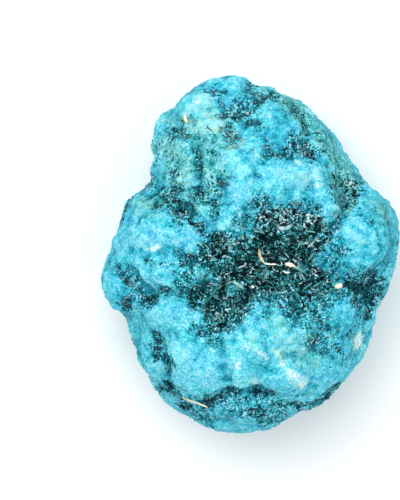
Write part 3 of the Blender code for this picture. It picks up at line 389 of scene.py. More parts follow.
stone = {
    "voxel": 0.20,            # spacing of its points
    "smoothing": 18,
    "nearby": (14, 110),      # rounds of averaging that make out small hollows, then wide ones
    "vigour": (0.75, 0.9, 4.5),   # how strong the lumps are: on average, more or less, and over what size
    "swell": (2.2, 0.16),     # size and height of each layer of relief
    "beads": (1.25, 0.28),
    "knobs": (0.95, 0.22),
    "crumbs": (0.62, 0.14),
    "seams": (1.5, 0.10, 0.20),   # size of the lumps between them, depth, and width
    "sugar": (0.40, 0.05),
    "rubble": (0.75, 0.34),
    "grit": (0.42, 0.16),
    "pit": 0.07,              # depth at which the painted shade in a pit is at its darkest
    "sink": 0.20,             # how far the matrix lies below the blue
    "cut": (0.5, 0.22),       # strokes of the matrix narrower than this are cut in this deep
    "wander": (1.3, 0.42),    # how far the edges of the markings stray
    "blur": 0.45,             # softness of their edges, before they break up into grit
    "halo": (1.1, 0.20),      # reach and strength of the scattered grit round them
    "sideFade": (4.0, 7.0),   # heights between which the upper side's markings begin
    "hidden": (3.6, 0.06, 0.45),  # size, threshold and softness of the matrix on the sides and below
    "drawn": (0.55, 0.42, 1.2),   # how far its noise, the wide hollows and the small ones draw it
    # the other markings there: strength, the two ends of the edge, size, place in the noise, and
    # how much less there is in the hollows
    "patches": {
        "pale": (0.6, 0.1, 0.5, 2.6, 47.0, 0.3),
        "green": (0.6, 0.15, 0.5, 4.2, 61.0, 0.0),
        "deep": (0.6, 0.0, 0.5, 3.4, 73.0, 0.0),
        "ochre": (0.8, 0.42, 0.7, 2.1, 83.0, 0.0),
        "rubble": (1.0, 0.2, 0.5, 3.1, 97.0, 0.0),
    },
}


def strokeMask(plan, strokes):
    reach, faint = stone["halo"]
    mask = np.zeros(len(plan))
    for halfWidth, strength, *route in strokes:
        blur = min(stone["blur"], 0.12 + 0.5 * halfWidth)
        nearest = np.full(len(plan), np.inf)
        for start, end in zip(route, route[1:]):
            start, run = np.array(start), np.subtract(end, start)
            share = np.clip((plan - start) @ run / (run @ run), 0, 1)
            away = np.hypot(*(plan - start - share[:, None] * run).T)
            nearest = np.minimum(nearest, away)
        core = smoothStep(halfWidth + blur, halfWidth - blur, nearest)
        halo = smoothStep(halfWidth + reach, halfWidth, nearest)
        mask = np.maximum(mask, strength * ((1 - faint) * core + faint * halo))
    return mask


def finerStone():
    # the solid's own surface as an even, fine mesh
    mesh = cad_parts["turquoise_nugget"].data.copy()
    mesh.materials.clear()
    for name in [a.name for a in mesh.attributes if a.name.startswith("UV")]:
        mesh.attributes.remove(mesh.attributes[name])
    mesh.transform(Matrix.Scale(1 / mm, 4))
    shell = bmesh.new()
    shell.from_mesh(mesh)
    bmesh.ops.remove_doubles(shell, verts=shell.verts, dist=0.001)
    shell.to_mesh(mesh)
    shell.free()
    worked = linked("worked", mesh)
    even = worked.modifiers.new("even", "REMESH")
    even.mode = "VOXEL"
    even.voxel_size = stone["voxel"]
    soft = worked.modifiers.new("soft", "SMOOTH")
    soft.factor = 0.5
    soft.iterations = stone["smoothing"]
    return plainMesh(worked, "nugget")


def markStone(mesh):
    points = pointsOf(mesh)
    normals = normalsOf(mesh)
    mean = neighbourMean(mesh)
    # how far each point lies in a hollow, at two sizes
    near = mean(points, stone["nearby"][0])
    wide = mean(near, stone["nearby"][1])
    crease = mean(np.einsum("ij,ij->i", near - points, normals), 3)
    hollow = np.einsum("ij,ij->i", wide - points, normals)
    size, reach = stone["wander"]
    stray = np.stack([noiseAt(points, size, 3.7), noiseAt(points, size, 9.1)], axis=1)
    stray += 0.5 * np.stack([noiseAt(points, size / 3, 1.3), noiseAt(points, size / 3, 5.9)], axis=1)
    plan = points[:, :2] + reach * stray
    upper = smoothStep(*stone["sideFade"], points[:, 2])
    masks = {}
    for name, strokes in markings.items():
        masks[name] = upper * strokeMask(plan, strokes)
    # the narrow strokes of the matrix that run through three points or more
    narrow = [stroke for stroke in markings["matrix"] if stroke[0] < stone["cut"][0] and len(stroke) > 4]
    masks["cut"] = upper * strokeMask(plan, narrow)
    # the sides and the underside carry the same kinds of marking, in their hollows
    size, threshold, soft = stone["hidden"]
    byNoise, byHollow, byCrease = stone["drawn"]
    drift = noiseAt(points, size, 20.0) + 0.5 * noiseAt(points, size / 2.6, 31.0)
    drift = drift * byNoise + hollow * byHollow + crease * byCrease
    dark = smoothStep(threshold, threshold + soft, drift)
    masks["matrix"] += (1 - upper) * dark
    for name, (strength, low, high, size, shift, hollows) in stone["patches"].items():
        patch = smoothStep(low, high, noiseAt(points, size, shift) - hollow * hollows)
        masks[name] += (1 - upper) * strength * patch * (dark if name == "rubble" else 1)
    # creases, for painted shade in the blue
    masks["crease"] = smoothStep(0.01, 0.12, crease)
    # raised places, for a painted highlight in the blue
    masks["crown"] = smoothStep(-0.3, 0.4, -hollow)
    # steep sides, for painted shade in the blue, and for fewer loose bits there
    masks["flank"] = smoothStep(0.42, 0.0, np.abs(mean(normals[:, 2], 6)))
    masks["clean"] = np.clip(1 - 2 * masks["matrix"], 0, 1)
    masks["clean"] *= smoothStep(-0.2, 0.5, noiseAt(points, 1.6, 53.0))
    for name, values in masks.items():
        setMask(mesh, name, values)
    return masks


def reliefStone(mesh, masks):
    points = pointsOf(mesh)
    normals = normalsOf(mesh)
    matrix = masks["matrix"]
    size, height = stone["swell"]
    relief = height * noiseAt(points, size, 11.0)
    average, change, size = stone["vigour"]
    strong = average + change * noiseAt(points, size, 41.0)
    for size, height in (stone["beads"], stone["knobs"], stone["crumbs"]):
        relief += height * strong * (1 - 0.6 * matrix) * (0.5 - cellsAt(points, size)[0])
    # fine seams between small lumps, here and there
    size, depth, width = stone["seams"]
    bent = points + 0.35 * np.stack([noiseAt(points, 0.9, shift) for shift in (2.0, 4.0, 6.0)], axis=1)
    seams = smoothStep(width, 0.0, cellsAt(bent, size)[2])
    seams *= smoothStep(-0.15, 0.25, noiseAt(points, 2.4, 67.0))
    seams *= 1 - matrix
    relief -= depth * seams
    # the colour darkens these seams too, as painted shade
    setMask(mesh, "seams", neighbourMean(mesh)(seams))
    size, height = stone["sugar"]
    relief += height * noiseAt(points, size, 5.0)
    relief += 0.5 * height * noiseAt(points, size / 2, 7.0)
    size, height = stone["rubble"]
    away, value, _ = cellsAt(points + 0.12 * noiseAt(points, 0.5, 3.0)[:, None], size)
    relief += height * matrix * ((value - 0.5) + 0.5 * (0.45 - away))
    size, height = stone["grit"]
    relief += height * matrix * noiseAt(points, size, 17.0)
    relief -= stone["sink"] * matrix
    relief -= stone["cut"][1] * smoothStep(0.45, 0.95, masks["cut"])
    points += normals * relief[:, None]
    points[:, 2] = np.maximum(points[:, 2], 0)
    setPoints(mesh, points)
    # bumps and pits of the relief, which the colour follows with painted shade in the pits: 0.5 is level, and
    # pits are above it
    mean = neighbourMean(mesh)
    pit = mean(np.einsum("ij,ij->i", mean(points, 7) - points, normalsOf(mesh)))
    setMask(mesh, "pit", 0.5 + pit / (2 * stone["pit"]))
    bed = smoothStep(0.3, 1.2, points[:, 2])
    bed *= 1 - 0.6 * masks["flank"]
    for name in ("matrix", "flaky", "clean"):
        setMask(mesh, "loose_" + name, masks[name] * bed)


def newGroup(name, inputs, outputs):
    group = bpy.data.node_groups.new(name, "ShaderNodeTree")
    for label, kind, value in inputs:
        socket = group.interface.new_socket(label, in_out="INPUT", socket_type=kind)
        if value is not None:
            socket.default_value = value
    for label, kind in outputs:
        group.interface.new_socket(label, in_out="OUTPUT", socket_type=kind)
    return group, group.nodes.new("NodeGroupInput").outputs, group.nodes.new("NodeGroupOutput").inputs


def plug(tree, socket, value):
    # a number or colour is set on the socket, and another node's output is linked to it
    if isinstance(value, bpy.types.NodeSocket):
        tree.links.new(value, socket)
    elif value is not None:
        socket.default_value = (*value, 1.0) if socket.type == "RGBA" else value


def mathNode(tree, kind, *values, clamp=False):
    node = tree.nodes.new("ShaderNodeMath")
    node.operation = kind
    node.use_clamp = clamp
    for socket, value in zip(node.inputs, values):
        plug(tree, socket, value)
    return node.outputs[0]


def blend(tree, factor, a, b, kind="MIX"):
    node = tree.nodes.new("ShaderNodeMix")
    node.data_type = "RGBA"
    node.blend_type = kind
    for place, value in ((0, factor), (6, a), (7, b)):
        plug(tree, node.inputs[place], value)
    return node.outputs[2]


def noiseNode(tree, vector, size, detail=2.0, roughness=0.5):
    node = tree.nodes.new("ShaderNodeTexNoise")
    node.inputs["Detail"].default_value = detail
    node.inputs["Roughness"].default_value = roughness
    node.inputs["Scale"].default_value = 1 / size
    tree.links.new(vector, node.inputs["Vector"])
    return node.outputs["Fac"]


def rampNode(tree, factor, stops):
    node = tree.nodes.new("ShaderNodeValToRGB")
    marks = node.color_ramp.elements
    for _ in stops[2:]:
        marks.new(0.5)
    for mark, (place, colour) in zip(marks, stops):
        mark.position = place
        mark.color = (*colour, 1.0)
    tree.links.new(factor, node.inputs[0])
    return node.outputs[0]


def remapNode(tree, value, low, high, toLow=0.0, toHigh=1.0, kind="SMOOTHSTEP"):
    node = tree.nodes.new("ShaderNodeMapRange")
    node.interpolation_type = kind
    for socket, number in zip(node.inputs[1:5], (low, high, toLow, toHigh)):
        plug(tree, socket, number)
    tree.links.new(value, node.inputs[0])
    return node.outputs[0]


def weigh(tree, start, *parts):
    # start plus each part, centred on its middle and multiplied by its weight
    total = start
    for value, middle, weight in parts:
        centred = mathNode(tree, "SUBTRACT", value, middle)
        total = mathNode(tree, "MULTIPLY_ADD", centred, weight, total)
    return total


def weighAll(tree, start, levels, parts):
    # the same, with the middle and the weight of each part in a dictionary
    return weigh(tree, start, *((value, *levels[name]) for name, value in parts.items()))


def toward(tree, value, target, share):
    return mathNode(tree, "MULTIPLY_ADD", mathNode(tree, "SUBTRACT", target, value), share, value)


def sugarGroup():
    # close-set crystal grains: two random values for each grain, and a domed height
    group, given, made = newGroup(
        "sugary grain",
        [("Vector", "NodeSocketVector", None), ("Grain", "NodeSocketFloat", 0.2)],
        [("Value", "NodeSocketFloat"), ("Other", "NodeSocketFloat"), ("Height", "NodeSocketFloat")],
    )
    cells = group.nodes.new("ShaderNodeTexVoronoi")
    group.links.new(given["Vector"], cells.inputs["Vector"])
    group.links.new(mathNode(group, "DIVIDE", 1.0, given["Grain"]), cells.inputs["Scale"])
    split = group.nodes.new("ShaderNodeSeparateColor")
    group.links.new(cells.outputs["Color"], split.inputs[0])
    group.links.new(split.outputs[0], made["Value"])
    group.links.new(split.outputs[1], made["Other"])
    group.links.new(mathNode(group, "SUBTRACT", 1.0, cells.outputs["Distance"]), made["Height"])
    return group


def gritGroup():
    # a soft mask, broken up grain by grain: the stronger the mask, the more grains it takes
    group, given, made = newGroup(
        "gritty edge",
        [("Vector", "NodeSocketVector", None), ("Mask", "NodeSocketFloat", 0.0),
         ("Grains", "NodeSocketFloat", 0.5), ("Clumps", "NodeSocketFloat", 0.4),
         ("Least", "NodeSocketFloat", 0.0), ("Most", "NodeSocketFloat", 0.9)],
        [("Mask", "NodeSocketFloat")],
    )
    clumps = group.nodes.new("ShaderNodeTexNoise")
    clumps.inputs["Detail"].default_value = 3.0
    clumps.inputs["Roughness"].default_value = 0.65
    group.links.new(given["Vector"], clumps.inputs["Vector"])
    group.links.new(mathNode(group, "DIVIDE", 1.0, given["Clumps"]), clumps.inputs["Scale"])
    spread = remapNode(group, clumps.outputs["Fac"], 0.28, 0.72, kind="LINEAR")
    field = weigh(group, 0.5, (given["Grains"], 0.5, 0.75), (spread, 0.5, 0.35))
    limit = mathNode(group, "MULTIPLY_ADD", given["Mask"],
                     mathNode(group, "SUBTRACT", given["Most"], given["Least"]), given["Least"])
    over = mathNode(group, "SUBTRACT", limit, field)
    group.links.new(remapNode(group, over, -0.04, 0.04), made["Mask"])
    return group


def placeGroup(tree, group, **values):
    node = tree.nodes.new("ShaderNodeGroup")
    node.node_tree = group
    for label, value in values.items():
        plug(tree, node.inputs[label], value)
    return node.outputs


def maskNode(tree, name):
    node = tree.nodes.new("ShaderNodeAttribute")
    node.attribute_name = name
    return node.outputs["Fac"]


def newMaterial(name):
    # a material, its tree and its surface, and Object coordinates in millimetres
    material = bpy.data.materials.new(name)
    material.use_nodes = True
    tree = material.node_tree
    place = tree.nodes.new("ShaderNodeTexCoord")
    scale = tree.nodes.new("ShaderNodeMapping")
    scale.inputs["Scale"].default_value = (1 / mm,) * 3
    tree.links.new(place.outputs["Object"], scale.inputs["Vector"])
    return material, tree, tree.nodes["Principled BSDF"], scale.outputs["Vector"]


def bumpNode(tree, surface, height, distance, strength=1.0):
    bump = tree.nodes.new("ShaderNodeBump")
    bump.inputs["Strength"].default_value = strength
    bump.inputs["Distance"].default_value = distance * mm
    tree.links.new(height, bump.inputs["Height"])
    tree.links.new(bump.outputs[0], surface.inputs["Normal"])


turquoise = {
    "blue": [
        (0.02, (0.001, 0.09, 0.13)), (0.22, (0.002, 0.19, 0.27)), (0.42, (0.012, 0.33, 0.43)),
        (0.60, (0.035, 0.47, 0.62)), (0.78, (0.085, 0.59, 0.73)), (1.0, (0.27, 0.75, 0.83)),
    ],
    # the matrix: near black, with grains of every shade of teal, and patches of greyish plum
    "dark": [
        (0.0, (0.001, 0.004, 0.007)), (0.36, (0.001, 0.014, 0.020)), (0.54, (0.002, 0.065, 0.080)),
        (0.74, (0.010, 0.20, 0.24)), (0.90, (0.12, 0.46, 0.50)), (1.0, (0.60, 0.82, 0.80)),
    ],
    "plum": [
        (0.0, (0.005, 0.004, 0.007)), (0.5, (0.045, 0.040, 0.055)), (0.8, (0.22, 0.31, 0.36)),
        (1.0, (0.62, 0.77, 0.80)),
    ],
    # patches of another colour: size of the clumps they break up into, cover, and tints
    "green": (0.9, 0.75, [(0.1, (0.004, 0.10, 0.10)), (0.5, (0.06, 0.41, 0.38)), (0.9, (0.38, 0.72, 0.63))]),
    "ochre": (0.3, 0.75, [(0.1, (0.05, 0.06, 0.045)), (0.5, (0.20, 0.22, 0.15)), (0.9, (0.50, 0.58, 0.42))]),
    "cream": (0.5, 0.6, [(0.1, (0.06, 0.25, 0.23)), (0.5, (0.21, 0.56, 0.49)), (1.0, (0.58, 0.82, 0.68))]),
    "white": (0.25, 0.78, [(0.1, (0.24, 0.48, 0.48)), (0.5, (0.60, 0.82, 0.80)), (1.0, (0.88, 0.95, 0.93))]),
    "glint": (0.58, 0.90, 0.94),
    "grains": (0.12, 0.19, 0.5),      # sizes of the tiny, fine and coarse grains
    # size, detail and roughness of each noise
    "noises": {
        "broad": (2.2, 3.0, 0.6), "drift": (1.3, 3.0, 0.6), "clumps": (1.1, 2.0, 0.6),
        "mottle": (0.7, 4.0, 0.65), "fine": (0.16, 2.0, 0.6),
    },
    # how light the blue is, then the value at which each thing adds nothing to it, and its weight
    "light": 0.648,
    "tone": {
        # the crowns get a painted highlight, creases, steep sides and seams get painted shade, and pale and
        # deep places are partly painted light and shade
        "broad": (0.5, 0.30), "mottle": (0.5, 0.39), "coarse": (0.5, 0.12), "crown": (0.5, 0.03),
        "crease": (0.2, -0.07), "flank": (0.0, -0.12), "seam": (0.0, -0.16), "pale": (0.0, 0.20),
        "deep": (0.0, -0.27), "border": (0.0, -0.26), "matrix": (0.0, -0.15),
    },
    # the same for the matrix
    "gloom": 0.36,
    # in the matrix, pits are darkened as painted shade, and the white grains are painted glints
    "shade": {
        "fine": (0.5, 0.7), "grain": (0.5, 0.95), "coarse": (0.5, 0.3), "clumps": (0.5, 0.7),
        "pit": (0.5, -0.7), "rubble": (0.0, 0.2), "flaky": (0.0, -0.14), "white": (0.0, 0.45),
        "thick": (0.74, -0.6),
    },
    "roughness": (0.42, 0.66),
    "shine": 0.08,
    "relief": 0.06,                   # height of the finest grains
}


def plumPatches(tree, vector, shade, colour):
    # patches of the matrix that are a greyish plum instead of teal
    share = remapNode(tree, noiseNode(tree, vector, 0.8, 2.0), 0.53, 0.70, 0.0, 0.7)
    return blend(tree, share, colour, rampNode(tree, shade, turquoise["plum"]))


def turquoiseMaterial(sugar, grit):
    material, tree, surface, vector = newMaterial("raw turquoise")
    link = tree.links.new
    calc = partial(mathNode, tree)
    mask = partial(maskNode, tree)
    noises = {name: noiseNode(tree, vector, *noise) for name, noise in turquoise["noises"].items()}
    fine, mottle = noises["fine"], noises["mottle"]
    tinyGrain, fineGrain, coarseGrain = [
        placeGroup(tree, sugar, Vector=vector, Grain=size) for size in turquoise["grains"]]
    value = fineGrain["Value"]
    pit, pale, matrix, azure, rubbly, flaky = map(mask, ("pit", "pale", "matrix", "azure", "rubble", "flaky"))

    def patch(under, name):
        # a patch of another colour, broken up grain by grain
        clump, cover, tints = turquoise[name]
        share = placeGroup(tree, grit, Vector=vector, Mask=mask(name), Grains=value, Clumps=clump)
        return blend(tree, calc("MULTIPLY", share[0], cover), under, rampNode(tree, tone, tints))

    # the blue: a painted highlight on the crowns of lumps, painted shade in creases, pits, seams and on steep
    # sides, mottled at every size
    seam = remapNode(tree, weigh(tree, pit, (fine, 0.5, 0.5)), 0.62, 0.95)
    border = remapNode(tree, matrix, 0.08, 0.62)
    lively = calc("MAXIMUM", flaky, rubbly)
    spread = calc("MULTIPLY", border, calc("MULTIPLY_ADD", lively, 0.45, 0.60))
    tone = weighAll(tree, turquoise["light"], turquoise["tone"], {
        "broad": noises["broad"], "mottle": mottle, "coarse": coarseGrain["Value"],
        "crown": mask("crown"), "crease": mask("crease"), "flank": mask("flank"),
        "seam": seam, "pale": pale, "deep": mask("deep"), "border": border, "matrix": matrix,
    })
    # grains stand out more in the border of the matrix, and the painted shade in pits and seams is weaker
    # under the pale markings
    pit_shade_strength = calc("MULTIPLY_ADD", pale, -0.6, 1.0)
    tone = weigh(tree, tone, (fine, 0.5, calc("ADD", spread, 0.68)),
                 (value, 0.5, calc("MULTIPLY_ADD", spread, 0.85, 0.37)),
                 (mask("seams"), 0.0, calc("MULTIPLY", pit_shade_strength, -0.16)),
                 (pit, 0.5, calc("MULTIPLY", pit_shade_strength, -0.42)))
    # some places are a little greener or bluer than the rest
    hue = tree.nodes.new("ShaderNodeHueSaturation")
    link(weigh(tree, 0.5, (noises["drift"], 0.5, 0.08), (azure, 0.0, 0.006)), hue.inputs["Hue"])
    link(calc("MULTIPLY_ADD", azure, 0.02, 0.985), hue.inputs["Saturation"])
    link(rampNode(tree, tone, turquoise["blue"]), hue.inputs["Color"])
    blue = patch(patch(hue.outputs[0], "green"), "ochre")
    # painted glints: single grains painted pale, then patches of cream and of white
    white = weigh(tree, tinyGrain["Value"], (pale, 0.0, 0.05), (border, 0.0, 0.09))
    white = remapNode(tree, white, 0.96, 1.0)
    glint = calc("MULTIPLY", white, calc("MULTIPLY_ADD", border, 0.38, 0.46))
    blue = blend(tree, glint, blue, turquoise["glint"])
    blue = patch(patch(blue, "cream"), "white")

    # the matrix: darker in pits as painted shade, and lighter on the white grains as painted glints
    thick = calc("MAXIMUM", matrix, turquoise["shade"]["thick"][0])
    shade = weighAll(tree, turquoise["gloom"], turquoise["shade"], {
        "fine": fine, "grain": fineGrain["Other"], "coarse": coarseGrain["Other"],
        "clumps": noises["clumps"], "pit": pit, "rubble": rubbly, "flaky": flaky, "white": white,
        "thick": thick,
    })
    # teal rather than black where the matrix thins out
    shade = toward(tree, shade, 0.62, calc("MULTIPLY_ADD", matrix, -0.95, 0.95))
    shade = toward(tree, shade, 0.60, calc("MULTIPLY_ADD", lively, -0.58, 0.58))
    dark = placeGroup(tree, grit, Vector=vector, Mask=calc("POWER", matrix, 1.35), Grains=value,
                      Clumps=0.42, Least=-0.02, Most=0.92)
    bed = plumPatches(tree, vector, shade, rampNode(tree, shade, turquoise["dark"]))
    link(blend(tree, dark[0], blue, bed), surface.inputs["Base Color"])

    link(remapNode(tree, fine, 0.3, 0.7, *turquoise["roughness"], "LINEAR"), surface.inputs["Roughness"])
    surface.inputs["Specular IOR Level"].default_value = turquoise["shine"]
    height = weigh(tree, fineGrain["Height"], (fine, 0.5, 0.9), (mottle, 0.5, 1.4))
    bumpNode(tree, surface, height, turquoise["relief"])
    return material


class NodeTree:
    # a Geometry Nodes tree with named inputs, which builds from its first node to its last
    def __init__(self, name, inputs):
        self.tree = bpy.data.node_groups.new(name, "GeometryNodeTree")
        face = self.tree.interface
        face.new_socket("Geometry", in_out="INPUT", socket_type="NodeSocketGeometry")
        self.keys = {}
        for label, value in inputs.items():
            kind = "NodeSocketInt" if isinstance(value, int) else "NodeSocketFloat"
            self.keys[label] = face.new_socket(label, in_out="INPUT", socket_type=kind).identifier
        face.new_socket("Geometry", in_out="OUTPUT", socket_type="NodeSocketGeometry")
        self.given = self.tree.nodes.new("NodeGroupInput").outputs

    def add(self, kind, settings=None, **values):
        node = self.tree.nodes.new(kind)
        for key, value in (settings or {}).items():
            setattr(node, key, value)
        for label, value in values.items():
            found = [s for s in node.inputs if s.name.replace(" ", "") == label and s.enabled]
            if isinstance(value, bpy.types.NodeSocket):
                self.tree.links.new(value, found[0])
            else:
                found[0].default_value = value
        return next(s for s in node.outputs if s.enabled) if len(node.outputs) == 1 else node.outputs

    def random(self, low, high, seed, kind="FLOAT"):
        node = self.tree.nodes.new("FunctionNodeRandomValue")
        node.data_type = kind
        places = [s for s in node.inputs if s.enabled]
        for socket, value in ((places[0], low), (places[1], high), (places[-1], seed)):
            socket.default_value = value
        return next(s for s in node.outputs if s.enabled)

    def scaled(self, vector, scale):
        return self.add("ShaderNodeVectorMath", {"operation": "SCALE"}, Vector=vector, Scale=scale)[0]

    def finish(self, geometry, material):
        made = self.add("GeometryNodeRealizeInstances", Geometry=geometry)
        made = self.add("GeometryNodeSetMaterial", Geometry=made, Material=material)
        self.tree.links.new(made, self.tree.nodes.new("NodeGroupOutput").inputs[0])


rubble = {
    "Density": 5.0,          # most chips on a square millimetre
    "Power": 1.8,            # how soon they thin out towards the edge of the matrix
    "Length": 0.42,
    "Width": 0.26,
    "Tilt": 0.5,
    "Lift": 0.06,            # most height above the stone
    "Seed": 5,
}
chips = {"Density": 32.0, "Power": 1.6, "Length": 0.18, "Width": 0.12, "Tilt": 0.5, "Lift": 0.06, "Seed": 6}
flakes = {"Density": 11.0, "Power": 2.0, "Length": 0.85, "Width": 0.18, "Tilt": 0.35, "Lift": 0.08, "Seed": 9}
crystals = {"Density": 5.0, "Power": 0.6, "Length": 0.22, "Width": 0.26, "Tilt": 0.5, "Lift": 0.0, "Seed": 3}
rooted = 0.01               # how far a chip reaches into the stone


def scatterTree(name, mask, values, material):
    tree = NodeTree(name, values)
    given = tree.given
    add = tree.add
    calc = partial(mathNode, tree.tree)
    share, added, matrix, flaky = [
        add("GeometryNodeInputNamedAttribute", {"data_type": "FLOAT"}, Name=label)[0]
        for label in (mask, "rubble", "matrix", "flaky")]
    share = calc("POWER", share, given["Power"])
    strewn = add("GeometryNodeDistributePointsOnFaces", Mesh=given["Geometry"],
                 Density=calc("MULTIPLY", share, given["Density"]), Seed=given["Seed"])
    # three forms, each 1 long: a splinter, a plate and a blunt grain
    forms = tree.tree.nodes.new("GeometryNodeJoinGeometry")
    for sides, top, bottom, turned in ((4, 0.16, 0.5, True), (5, 0.34, 0.5, False), (5, 0.5, 0.3, True)):
        form = add("GeometryNodeMeshCone", Vertices=sides, RadiusTop=top, RadiusBottom=bottom, Depth=1.0)
        form = add("GeometryNodeTransform", Geometry=form["Mesh"], Translation=(0.0, 0.0, -0.5))
        if turned:
            form = add("GeometryNodeTransform", Geometry=form, Rotation=(0.0, math.pi / 2, 0.0))
        tree.tree.links.new(add("GeometryNodeGeometryToInstance", Geometry=form), forms.inputs[0])

    def size(label, low, high, seed, coarser=0.0):
        # many small ones and few long ones, and blockier ones in the rubble
        spread = calc("POWER", tree.random(0.0, 1.0, seed), 2.2)
        spread = calc("MULTIPLY_ADD", spread, high - low, low)
        spread = calc("MULTIPLY", spread, calc("MULTIPLY_ADD", added, coarser, 1.0))
        return calc("MULTIPLY", spread, given[label])

    # each is as much thicker as it is lifted, downwards, so that it reaches into the stone
    lift = calc("MULTIPLY", tree.random(0.0, 1.0, 16), given["Lift"])
    thickness = calc("ADD", size("Width", 0.3, 0.8, 13, 0.4), calc("ADD", lift, 2 * rooted))
    scale = add("ShaderNodeCombineXYZ", X=size("Length", 0.4, 1.9, 11, 0.1),
                Y=size("Width", 0.55, 1.5, 12, 0.9), Z=thickness)
    spin = tree.random((-0.5, 0.0, 0.0), (0.5, 0.0, 2 * math.pi), 14, "FLOAT_VECTOR")
    tilt = tree.scaled(tree.random((0.0, -1.0, 0.0), (0.0, 1.0, 0.0), 15, "FLOAT_VECTOR"), given["Tilt"])
    facing = strewn["Rotation"]
    for turn in (spin, tilt):
        facing = add("FunctionNodeRotateRotation", {"rotation_space": "LOCAL"},
                     Rotation=facing, RotateBy=turn)
    raised = calc("MULTIPLY_ADD", lift, 0.5, -rooted)
    spots = add("GeometryNodeSetPosition", Geometry=strewn["Points"],
                Offset=tree.scaled(strewn["Normal"], raised))
    laid = add("GeometryNodeInstanceOnPoints", Points=spots, Instance=forms.outputs[0], PickInstance=True,
               InstanceIndex=tree.random(0, 2, 17, "INT"), Rotation=facing, Scale=scale)
    # neighbouring ones have much the same tint, and those at the edge of the matrix are lighter
    clumps = add("ShaderNodeTexNoise", Scale=0.9, Detail=2.0)[0]
    tint = weigh(tree.tree, tree.random(-0.48, 1.20, 19), (clumps, 0.5, 0.3), (added, 0.0, 0.30),
                 (calc("MAXIMUM", matrix, 0.74), 0.74, -0.8))
    lively = calc("MAXIMUM", flaky, added)
    tint = toward(tree.tree, tint, 0.58, calc("MULTIPLY_ADD", lively, -0.48, 0.48))
    tint = toward(tree.tree, tint, 0.72, calc("MULTIPLY_ADD", matrix, -0.9, 0.9))
    tinted = add("GeometryNodeStoreNamedAttribute", {"data_type": "FLOAT", "domain": "INSTANCE"},
                 Geometry=laid, Name="tint", Value=tint)
    tree.finish(tinted, material)
    return tree


def scatter(name, stoneMesh, mask, values, material):
    tree = scatterTree(name, mask, values, material)
    worked = linked(name + "_points", stoneMesh.copy())
    spread = worked.modifiers.new("spread", "NODES")
    spread.node_group = tree.tree
    for label, value in values.items():
        spread[tree.keys[label]] = value
    return plainMesh(worked, name)


looseBits = {
    "flecks": (0.12, 0.3),        # size, and how much they show
    "rougher": 0.3,               # size of the rougher places
    "shine": 0.03,
    "bumps": (0.07, 0.02, 0.6),   # size, height and strength
}


def tintedMaterial(name, stops, roughness, plum=False):
    # each loose bit has its own tint, and flecks within it
    material, tree, surface, vector = newMaterial(name)
    size, shown = looseBits["flecks"]
    flecks = noiseNode(tree, vector, size, 2.0)
    shade = weigh(tree, maskNode(tree, "tint"), (flecks, 0.5, shown))
    colour = rampNode(tree, shade, stops)
    if plum:
        colour = plumPatches(tree, vector, shade, colour)
    tree.links.new(colour, surface.inputs["Base Color"])
    rough = remapNode(tree, noiseNode(tree, vector, looseBits["rougher"]), 0.3, 0.7, *roughness)
    tree.links.new(rough, surface.inputs["Roughness"])
    surface.inputs["Specular IOR Level"].default_value = looseBits["shine"]
    size, height, strength = looseBits["bumps"]
    bumpNode(tree, surface, noiseNode(tree, vector, size, 2.0), height, strength)
    return material


# tints of the loose chips, near black to pale teal; the palest are partly pale grains, partly painted glints
chipTints = [
    (0.0, (0.001, 0.004, 0.007)), (0.34, (0.001, 0.016, 0.022)), (0.54, (0.002, 0.070, 0.085)),
    (0.74, (0.012, 0.20, 0.24)), (0.88, (0.10, 0.45, 0.48)), (0.98, (0.38, 0.70, 0.73)),
    (1.0, (0.64, 0.85, 0.87)),
]
flakeTints = [
    (0.0, (0.002, 0.02, 0.025)), (0.34, (0.004, 0.075, 0.078)), (0.66, (0.03, 0.22, 0.21)),
    (0.88, (0.16, 0.46, 0.46)), (1.0, (0.54, 0.78, 0.76)),
]
strawTints = [
    (0.0, (0.10, 0.07, 0.04)), (0.3, (0.38, 0.28, 0.17)), (0.6, (0.66, 0.57, 0.40)),
    (0.85, (0.86, 0.82, 0.68)), (1.0, (0.95, 0.92, 0.82)),
]
paleTints = [
    (0.0, (0.20, 0.16, 0.10)), (0.3, (0.56, 0.46, 0.30)), (0.6, (0.80, 0.74, 0.52)),
    (0.8, (0.84, 0.87, 0.80)), (1.0, (0.95, 0.95, 0.92)),
]


